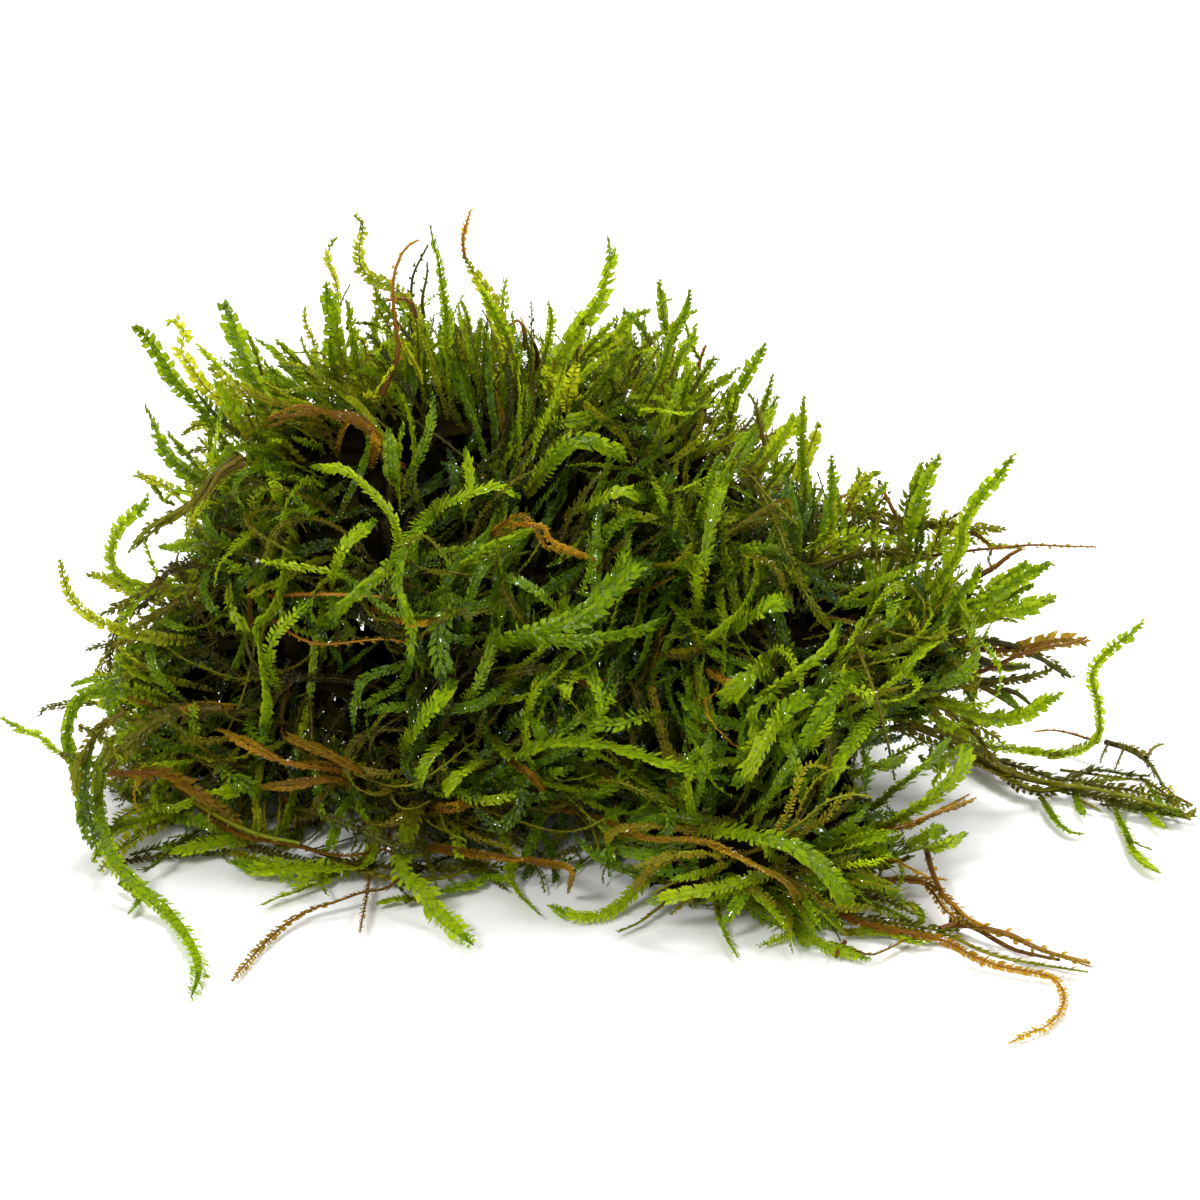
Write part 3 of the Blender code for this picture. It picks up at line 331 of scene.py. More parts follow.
# %% Ribbons on the face: kind, width and route
RIBBONS = [
    ("fresh", 2.3, [(-13, -6.5), (-11, -5), (-8, -3.5), (-4, -2.5), (-1, -1), (1, 1), (3, 3), (4.5, 4)]),
    ("fresh", 1.7, [(-10, -5.5), (-7, -4), (-2, -4), (4, -3), (7, -1.5)]),
    ("fresh", 1.8, [(-13, -11.5), (-11, -13.5), (-9, -15.5), (-7, -15), (-4, -14.2), (0, -14.5), (4, -15.5),
     (8, -16.8), (12.8, -17.8)]),
    ("fresh", 1.4, [(12.8, -17.8), (15, -14.5), (15.7, -12)]),
    ("fresh", 1.9, [(-7.5, 10.5), (-5.5, 13), (-3.5, 15.5), (-1.5, 16), (0.5, 15.5), (2.5, 14)]),
    ("fresh", 1.5, [(-3.5, 8.5), (0, 10), (2, 10.8), (4.5, 10.3)]),
    ("fresh", 1.4, [(-19.5, 3), (-20, 5.5), (-20.8, 8.5), (-23, 11), (-25.5, 13), (-28.8, 13.2)]),
    ("fresh", 1.4, [(-27, 1), (-26.2, 4), (-25, 6), (-22.5, 8)]),
    ("fresh", 1.7, [(-30.3, 9), (-31.3, 4), (-32.5, -0.5), (-34.2, -2.5), (-33.8, -6), (-33.4, -10),
     (-33.5, -13.5)]),
    ("fresh", 1.5, [(-14, 8), (-13.2, 10), (-13, 12.5), (-13.5, 15)]),
    ("fresh", 1.5, [(4, 3), (7, 3.5), (10, 4), (10.8, 6), (11.5, 9.5), (12.5, 13)]),
    ("fresh", 1.9, [(7.5, -22.5), (11, -23), (15, -23.5), (19, -24.5), (22, -26.5), (24, -29),
     (25.2, -31.5)]),
    ("fresh", 2, [(14.5, -10.5), (17, -9), (20, -7), (22.5, -5), (24, -2.5)]),
    ("fresh", 1.8, [(28.5, -8.5), (30, -7), (32.5, -5), (34.5, -3.5)]),
    ("fresh", 1.9, [(12, -4), (16, -1), (19, 0)]),
    ("fresh", 2, [(15, -15), (18, -11.5), (21.5, -9)]),
    ("fresh", 1.9, [(27, -21), (30, -18.5), (32.5, -16.5), (35, -14)]),
    ("fresh", 1.9, [(28, -23), (30.5, -21.5), (33.5, -19.5), (36, -17), (37, -14.5)]),
    ("fresh", 1.6, [(25, -17.5), (28, -16.5), (30.5, -16)]),
    ("fresh", 1.5, [(30.5, -25), (32.5, -23.5), (34.5, -23)]),
    ("fresh", 1.5, [(32.5, -25), (34.5, -24.5), (36.5, -23.5)]),
    ("rust", 1, [(28, -23), (31, -22.5), (34, -21.2), (37.2, -19.7)]),
    ("rust", 1.1, [(-12.8, -19.2), (-10, -19.5), (-7, -19.3), (-4, -20.5), (-1, -21.8), (2, -23), (5, -23.8),
     (9, -23.8), (12, -24.8), (15, -26), (18, -28), (19.8, -29.8)]),
    ("rust", 0.9, [(-18, -20.8), (-15, -20.8), (-13, -20.5)]),
    ("rust", 1.2, [(-22, -18), (-27, -16.5), (-31, -16), (-35, -14.5), (-38.2, -12.8)]),
    ("rust", 1.1, [(-21.5, -17.8), (-24, -17), (-28, -15), (-31.5, -13.3)]),
    ("rust", 1, [(-23, -18.8), (-27, -18), (-31, -18.5), (-34.8, -18.8)]),
    ("olive", 1.2, [(-32, -20.5), (-28, -21.5), (-24, -23), (-20, -24.8), (-17, -24.5)]),
    ("rust", 0.8, [(-20, -24), (-15, -25), (-10, -25.8), (-6, -26.2), (-3, -26.8), (-3.2, -29)]),
    ("olive", 1.3, [(8, 21.2), (10, 19), (12, 16.5), (14, 14), (16, 11), (17.5, 8), (19, 4), (21, 0),
     (23.5, -3.5)]),
    ("rust", 1.2, [(-19, 13.2), (-21, 14.2), (-22.2, 16), (-24, 18), (-26.5, 18.8), (-29.5, 19), (-32.5, 18),
     (-35, 16.5)]),
    ("rust", 0.9, [(-26.5, 14.5), (-25.5, 17.5), (-24.8, 18.6)]),
    ("rust", 0.9, [(-23, 13), (-22.5, 15.5), (-22.8, 17)]),
    ("rust", 1.2, [(-12, 5), (-10, 7), (-8, 8), (-6, 7), (-5, 5.5), (0, 3.5)]),
    ("rust", 1.6, [(10, -6.8), (12, -8), (14.5, -9)]),
    ("fresh", 1.6, [(-19.3, 6.6), (-20.8, 3.7), (-23.6, 1.3), (-27.9, -2.5)]),
    ("fresh", 1.6, [(-12.9, 11.3), (-15.5, 9.9), (-18.4, 7), (-19.8, 4.7), (-20.3, 1.3), (-18.9, -2.5),
     (-19.1, -6.7)]),
    ("loose", 1.9, [(-11.8, 0.2), (-15.1, -0.6), (-16, -4.8), (-15.5, -8.1)]),
    ("fresh", 1.8, [(-20.3, -15.7), (-18.5, -13), (-16.5, -10.5), (-14.5, -8)]),
    ("fresh", 1.7, [(-16, 0.5), (-12.7, 4.2), (-9.5, 6), (-6.1, 7.2)]),
    ("fresh", 1.4, [(-18.4, 7), (-15.5, 9.6), (-10.8, 11.3), (-8, 10.3)]),
    ("fresh", 1.5, [(15.3, 5.1), (15.5, 2.3), (14.3, -0.6), (12.4, -2.5), (10.5, -4.4)]),
    ("fresh", 2, [(18.1, -5.3), (15.3, -7.2), (12, -10.5)]),
    ("fresh", 1.9, [(27.2, -6.7), (24.3, -8.6), (21.9, -12), (19.6, -16.2)]),
    ("fresh", 1.7, [(29.1, -9.1), (26.7, -12.4), (24.3, -15.7), (22.4, -19.5)]),
    ("fresh", 1.8, [(21.5, -9), (18, -11.5), (15.6, -15.7), (13.5, -18.6)]),
    ("loose", 1.5, [(-40, -14.3), (-36.9, -17.6), (-33.1, -19.5)]),
    ("fresh", 1.4, [(-13.6, -12), (-17, -15.7), (-18.4, -18.6)]),
    ("fresh", 1.5, [(-10.8, -15.3), (-13.6, -17.2), (-16, -19.5)]),
    ("fresh", 1.1, [(-8.4, -10), (-6.5, -12.4), (-5.5, -14)]),
    ("loose", 1.3, [(-0.4, -6.7), (-2.7, -8.1), (-3.7, -10)]),
    ("olive", 1.1, [(-11, -8.1), (-8, -7.2), (-4.6, -6.7)]),
    ("loose", 1.2, [(10.1, -6.2), (7.2, -7.7), (5.3, -8.6)]),
    ("loose", 1.5, [(-37.1, 1.8), (-36.9, -0.6), (-35.2, -3.4)]),
    ("loose", 1.3, [(-1.3, 18.4), (3.4, 17), (6.3, 16.5)]),
    ("loose", 1.3, [(-7.5, 17.5), (-3.7, 17.9), (-0.4, 18.4)]),
    ("dry", 0.7, [(-34, 0.4), (-27, 0.6), (-20.3, 0.2)]),
    ("dry", 0.5, [(-33.5, -1), (-32.1, -2.5), (-28.3, -4.4), (-21.7, -3.9), (-18, -4.6)]),
    ("rust", 0.9, [(-23.6, -0.6), (-18.9, -2.5), (-15.5, -2)]),
    ("rust", 0.9, [(-46, -13), (-43, -11.4), (-39.7, -10.5), (-36.5, -10.8)]),
    ("bare", 1, [(-44, -17.6), (-39.3, -21), (-34.5, -23.3), (-30, -24.3)]),
    ("fresh", 1.3, [(-33.3, 14.1), (-32.6, 12), (-32, 9.6)]),
    ("fresh", 1.2, [(4.9, 13.2), (5.8, 10.8), (6.8, 8.5)]),
    ("loose", 1.4, [(8.5, -12.5), (5, -11.5), (1.5, -12.5), (-2, -12)]),
    ("olive", 1, [(-3, -19), (1, -18), (5, -19.5), (8, -20.5)]),
    ("loose", 1.3, [(2, -16.5), (5.5, -19), (7, -22), (5.5, -25)]),
    ("rust", 0.8, [(-10, -15.5), (-7.5, -17), (-5, -19.5)]),
    ("bare", 0.7, [(25, -3), (27, -8), (28.5, -13), (29.5, -18)]),
]
print(len(RIBBONS), "ribbons")

# %% Small tips round the edge: kind, width, how far back and route
EDGE_TIPS = [
    ("fresh", 1.4, 12, [(-35, 20), (-36.2, 21.2), (-37.8, 23), (-39.2, 24.5), (-40.2, 25.5)]),
    ("fresh", 1.2, 12, [(-33.8, 22.5), (-34.5, 25), (-35.3, 26.8)]),
    ("fresh", 1.2, 14, [(-29, 22.5), (-30.3, 23.8), (-31.3, 25), (-32.3, 25.9)]),
    ("pale", 0.8, 16, [(-28.5, 25.5), (-29.5, 27.8), (-29.5, 29.3)]),
    ("fresh", 1, 10, [(-28.2, 23), (-29.3, 24.5), (-29.9, 26.2)]),
    ("pale", 0.8, 15, [(-26.3, 28.2), (-25.8, 30), (-25, 31.5)]),
    ("fresh", 0.8, 11, [(-25.3, 27), (-24.9, 28.5), (-25.4, 30)]),
    ("pale", 0.9, 14, [(-20.9, 27), (-21.8, 28.5), (-22.3, 30), (-22.5, 31.8)]),
    ("bare", 0.5, 21, [(-17.6, 28.2), (-17.8, 30), (-17.3, 32.5), (-17.3, 33.8)]),
    ("bare", 0.5, 21, [(-20.4, 27), (-20.7, 30), (-20.6, 32.5), (-20, 34)]),
    ("dry", 0.6, 12, [(-18.4, 28.2), (-18.8, 29.7), (-20, 30.2), (-22, 29.8)]),
    ("fresh", 0.9, 15, [(-13, 27), (-13.3, 28.5), (-13.9, 30)]),
    ("dry", 0.7, 17, [(-7.6, 25), (-7.5, 26.5), (-8, 28), (-9, 27.5)]),
    ("dry", 0.7, 17, [(-6.3, 23), (-6.3, 25), (-6.8, 26)]),
    ("fresh", 1.2, 11, [(-2, 24.2), (-1, 25.5), (0, 26.5), (1.5, 28)]),
    ("fresh", 1.4, 12, [(-2, 24), (0, 25.2), (2, 27), (3.2, 28.5)]),
    ("fresh", 1.2, 10, [(5.2, 25.5), (4, 27.5), (2.3, 29)]),
    ("fresh", 0.8, 16, [(6.4, 28), (6.2, 29.7), (7.2, 30.1)]),
    ("fresh", 0.9, 12, [(6.8, 25.5), (7.2, 27), (8.3, 28.2), (8.7, 29.5), (9, 31)]),
    ("fresh", 0.9, 14, [(7.2, 25.5), (7.8, 27), (8.5, 28.4), (9.7, 28.9)]),
    ("fresh", 0.9, 12, [(10, 24), (9.2, 25.5), (8.8, 27), (8.3, 28.2)]),
    ("dry", 0.6, 17, [(9.7, 22), (10, 24), (10.6, 25.5)]),
    ("fresh", 0.9, 16, [(9.8, 20.5), (10.3, 22.2), (10.6, 23.4), (11.4, 24.2)]),
    ("fresh", 1.2, 16, [(10, 20), (11, 21.2), (12.5, 22), (13.7, 23.1)]),
    ("olive", 1.2, 12, [(16.5, 15.5), (16, 17.5), (15.7, 19.2), (14.9, 20.7)]),
    ("pale", 0.9, 18, [(16.5, 16.3), (18, 17), (19, 17.8), (19.1, 18.5)]),
    ("pale", 1.1, 20, [(15.5, 14), (17, 15.5), (19, 16.8), (20, 18)]),
    ("fresh", 1.2, 18, [(18.5, 12.5), (20, 14), (21.2, 15.3), (22, 16.4)]),
    ("fresh", 1, 12, [(26.8, 8.5), (26.5, 10), (25.8, 11.5), (25.9, 13)]),
    ("fresh", 1, 14, [(27.4, 8.5), (27, 10.2), (26.8, 12), (27.7, 12.7)]),
    ("dry", 0.6, 12, [(30, 7.8), (29.3, 9), (28.6, 10.5), (27.8, 11.5)]),
    ("fresh", 1.1, 12, [(30.8, 7.2), (31.3, 9), (31.5, 11), (32.2, 13.8)]),
    ("dry", 0.8, 10, [(37.5, 2.2), (39, 3), (39.8, 3.5), (41, 4.5), (42.2, 5.1)]),
    ("dry", 0.6, 12, [(36.5, 6.7), (37.8, 6.5), (39, 5.5), (40.3, 5.3)]),
    ("fresh", 1.2, 8, [(38.5, 0.2), (40, 1.2), (41.2, 2.2), (42.6, 3.7)]),
    ("fresh", 1.2, 9, [(38.5, -1), (40.5, 0), (42, 1), (43.4, 1.5)]),
    ("fresh", 1.4, 6, [(34, -3.5), (36, -2.8), (38, -2), (40, -1), (42, -1.2), (44, -0.3), (45.4, 0.2)]),
    ("fresh", 1.4, 4, [(33.5, -2.2), (35, -1), (36.2, 0.8), (37.5, 2), (37.9, 3.4)]),
    ("fresh", 1.3, 3, [(33, -1.8), (34, 0), (34.3, 1), (35, 3), (35.5, 5)]),
    ("olive", 0.9, 9, [(35.5, -4), (38, -3.8), (40, -4.3), (42, -5), (44, -5.7), (45.5, -6.5), (47, -7.5)]),
    ("olive", 0.9, 10, [(37.5, -8.5), (40, -8), (41.5, -8), (43.5, -7.6), (45.2, -6.8)]),
    ("fresh", 1.1, 12, [(36.5, -6.8), (39, -6.5), (41, -6.7), (43, -6.5)]),
    ("fresh", 0.9, 10, [(39, -9), (41, -9.2), (42, -9.5), (43, -10.5)]),
    ("fresh", 1, 8, [(38, -8), (39.5, -8.5), (41, -10), (42.3, -11.2)]),
    ("fresh", 1.1, 13, [(-39.3, 12.8), (-40.5, 13.5), (-41.5, 14.8), (-42.5, 15.8), (-43.2, 16.9)]),
    ("fresh", 1, 12, [(-42.5, 9.5), (-43.7, 10), (-44.2, 10.8), (-45.2, 12), (-46.5, 12.4)]),
    ("pale", 1.1, 9, [(-43.5, -0.5), (-45, 0.3), (-47, 1), (-48.5, 1.7), (-50, 2.4), (-51.3, 2.5)]),
    ("fresh", 1.2, 5, [(-38.5, 5), (-40, 5.4), (-42, 5.1), (-43.8, 5.3)]),
    ("olive", 0.9, 8, [(-42.5, -3), (-45, -3.5), (-47, -4), (-49, -4.3), (-51.4, -5)]),
    ("olive", 0.8, 6, [(-43, -3.7), (-45, -3.5), (-47.5, -4), (-49, -5), (-50.5, -7.2)]),
    ("olive", 0.9, 5, [(-39, 3.2), (-41, 3.5), (-43.5, 2.8), (-44.5, 0.5), (-46, -0.5), (-48.2, -2.5),
     (-49, -5), (-49, -7.2)]),
    ("fresh", 1, 7, [(-46.5, -7.2), (-49, -7.8), (-51, -8), (-52.9, -8.6)]),
    ("pale", 1, 6, [(-45, -6.5), (-46.5, -7), (-48.5, -8.5), (-50.7, -9)]),
    ("fresh", 1.2, 2, [(-46.2, -12.2), (-48, -11.5), (-48.5, -10.5), (-49.5, -9)]),
    # twigs behind on the right
    ("rust", 1.5, 8, [(38, -5), (41, -5), (44, -4.4), (46.5, -4), (48.7, -4.2)]),
    ("bare", 0.9, 8, [(37, -4), (41, -4.5), (44, -5.8), (45.8, -7), (47.1, -7.7)]),
    ("bare", 0.8, 8, [(37, -8), (40.5, -8), (43, -7.6), (45.2, -7)]),
    ("bare", 1.1, 8, [(38, -6), (40.5, -6.8), (43, -6.6)]),
    ("bare", 0.8, 8, [(38, -8.5), (40.5, -10), (42.4, -11.4)]),
    ("bare", 0.8, 8, [(40, -9), (41.5, -9.2), (43, -10.4)]),
    ("olive", 1.2, 12, [(22, 9), (27, 9), (30, 8), (33, 7.8), (35, 7.3), (37.5, 7.2), (40.3, 7.1)]),
    ("olive", 1.1, 12, [(25, 7), (30, 7), (34, 7.6), (36, 8.8)]),
    ("olive", 1, 13, [(22, 6), (26, 8), (28.6, 10.5), (27.8, 12)]),
    ("pale", 1.1, 12, [(37.6, 6.4), (39.4, 5.4), (40.6, 5.4), (42.2, 5.2)]),
    ("pale", 1, 12, [(39.2, 5.2), (38.8, 3.8), (39.6, 3.2)]),
    ("loose", 1.4, 12, [(30, 5), (30.5, 8), (31, 10), (32.4, 12.4), (33.4, 14)]),
    ("loose", 1.4, 12, [(31.5, 4), (31.8, 7), (32.5, 9.5), (33, 10)]),
    ("pale", 1.3, 12, [(33, 4), (34, 7), (34.5, 8.8)]),
    ("pale", 1.3, 10, [(33.5, 0), (34.5, 3), (35.2, 4.6), (35.8, 5.6)]),
    ("pale", 1.2, 10, [(34.5, -1), (34.2, 1.5), (34.4, 2.6)]),
    ("loose", 1.2, 10, [(36, -1.5), (37.2, 1), (37.8, 2.2), (38, 3.6)]),
    ("fresh", 1.5, 9, [(34, -4), (37, -1), (40, 0.4), (42, 1.8), (45, 3.6)]),
    ("fresh", 1.4, 9, [(36, -2), (38, 0), (39.6, 1.4), (42.6, 3.8)]),
    ("fresh", 1.4, 9, [(34, -3.5), (38, -2), (40.5, -1), (43, -0.4), (45.4, 0.2)]),
    ("pale", 1.2, 9, [(38, -2), (40, -1.8), (41.4, -2.2)]),
    ("fresh", 1.4, 7, [(36, -12.5), (39, -12), (42, -11.4), (44, -10.4), (46, -9.4)]),
    ("olive", 1.3, 9, [(25, -8), (30, -7), (35, -7.8), (39, -8.8)]),
    ("olive", 1.3, 9, [(27, -11), (32, -10.4), (36, -11.6), (40, -14)]),
    ("olive", 1.2, 8, [(28, -13), (33, -13), (37, -14.4), (40, -16)]),
    ("loose", 1.3, 9, [(36, -8), (37.4, -10.6), (36.6, -12.6)]),
    ("pale", 1.3, 13, [(24, 8), (25, 10), (25.8, 12), (26, 13)]),
    ("pale", 1.2, 13, [(25, 9), (26.6, 11), (27.6, 11.2)]),
    ("olive", 1.1, 4, [(-44, 2), (-46.5, 0), (-48, -0.6), (-50, -1.5)]),
    ("olive", 1.3, 4, [(-42, 0), (-45, -2), (-47, -3)]),
    ("loose", 1.3, 4, [(-43, 1.4), (-45.4, 1), (-47.4, -1.4), (-48, -4)]),
    ("pale", 1.1, 6, [(-42, 10.5), (-43.5, 11.5), (-45.2, 12.2), (-46.3, 12.8)]),
    ("fresh", 1.4, 5, [(-38.5, 10.8), (-40.5, 12.2), (-42.5, 13.6), (-43.8, 15.6), (-44.6, 17.8)]),
    ("loose", 1.3, 5, [(-37.5, 9.5), (-40, 10.5), (-42.5, 11), (-43.5, 9.8)]),
    ("fresh", 1.2, 4, [(-38.5, 5.8), (-41, 5.6), (-43.8, 5.3)]),
    ("loose", 1.3, -4, [(-49.5, -12), (-51, -15), (-51.5, -18.5), (-51, -22), (-50, -25.5)]),
    ("fresh", 0.9, -3, [(-48.5, -13.5), (-50.2, -17), (-50.4, -21), (-49.2, -25)]),
    ("olive", 1.2, -4, [(-47.5, -11), (-50.5, -13.5), (-52.2, -16.5), (-52.5, -19.5)]),
    ("fresh", 1.5, 8, [(-24, 22), (-24.6, 25), (-25, 27.5), (-25.2, 29.6)]),
    ("fresh", 1.3, 8, [(-25.2, 22.5), (-26.2, 25.5), (-26.6, 28.5), (-26.4, 30.6)]),
    ("loose", 1.2, 10, [(-18.5, 25.5), (-20.5, 28), (-22.3, 30.6)]),
    ("pale", 1.3, 10, [(-9.5, 25), (-10.5, 28), (-11.5, 30.5), (-12.6, 32.3)]),
    ("fresh", 1.4, 9, [(-8.5, 24), (-9.6, 27), (-10.8, 29.2), (-11.8, 31)]),
    ("fresh", 1.2, 14, [(1, 24.5), (2, 27), (3.6, 28.6), (5, 28.9)]),
    ("loose", 1.1, 12, [(3.5, 24), (5, 26), (6.5, 27)]),
    ("fresh", 1.3, 8, [(7, 22), (8, 24.5), (9.2, 26), (9.5, 27.5)]),
    ("loose", 1.2, 8, [(9, 20.5), (10.4, 22.8), (11.6, 24.2)]),
    ("fresh", 1.3, 8, [(15.5, 12), (17, 14.5), (18.6, 16.8), (19.4, 18.6)]),
    ("loose", 1.2, 7, [(16.5, 11), (18.2, 13.2), (19.2, 15)]),
    ("pale", 1.2, 6, [(24.5, 8.5), (25.5, 10.5), (26.5, 12.3), (27.8, 12.6)]),
    ("fresh", 1.3, 5, [(26, 8), (27.5, 10.2), (28.6, 11.6)]),
    ("loose", 1.4, 6, [(21, 4), (24, 6), (27, 6.5), (30, 6)]),
    ("olive", 1.3, 6, [(22, 3), (25.5, 4.5), (29, 4.8), (33, 4.2)]),
    ("pale", 1.3, 12, [(33, 5), (34.5, 6.5), (36.5, 8.2), (37.2, 9)]),
    ("loose", 1.3, 10, [(32, 4.5), (35, 5.8), (37.5, 5.9)]),
    ("olive", 1.4, 11, [(28.5, -11.5), (31.5, -12.8), (34.5, -14), (37, -14.8)]),
    ("loose", 1.2, 11, [(29.5, -12.8), (32.5, -14.2), (35.5, -15)]),
    ("olive", 1, 11, [(27, -14.5), (29, -12.8), (31.5, -12.4), (33.5, -13.5)]),
    ("loose", 0.9, 11, [(28, -16.5), (30.5, -15), (32.5, -14.2)]),
    ("fresh", 1.5, 6, [(-35, 16), (-36.5, 19), (-38.5, 21.8)]),
    ("pale", 1.2, 7, [(-34.5, 17), (-36.8, 21), (-39, 23.2)]),
    ("loose", 1.2, 7, [(-36, 16.5), (-38.5, 18.5), (-40.5, 21)]),
    ("fresh", 1.2, -2, [(-47, -7.5), (-49.2, -8.6), (-49.3, -10.4), (-48.6, -12)]),
    ("pale", 1.3, -3, [(-52.2, -12.6), (-50, -13.5), (-48.6, -15), (-47.5, -16.6)]),
    ("olive", 1.7, -2, [(-37.8, -10.7), (-41.5, -11.3), (-44.6, -12.1), (-47.5, -14.8), (-51.3, -18.8)]),
    ("rust", 1.3, -3, [(-49, -17.4), (-46, -17.3), (-43.2, -17.5), (-38.9, -20.2), (-35.5, -23)]),
    ("fresh", 1.1, -3, [(-54, -15.5), (-51.3, -15.8), (-49.5, -17.8)]),
]
print(len(EDGE_TIPS), "small tips")

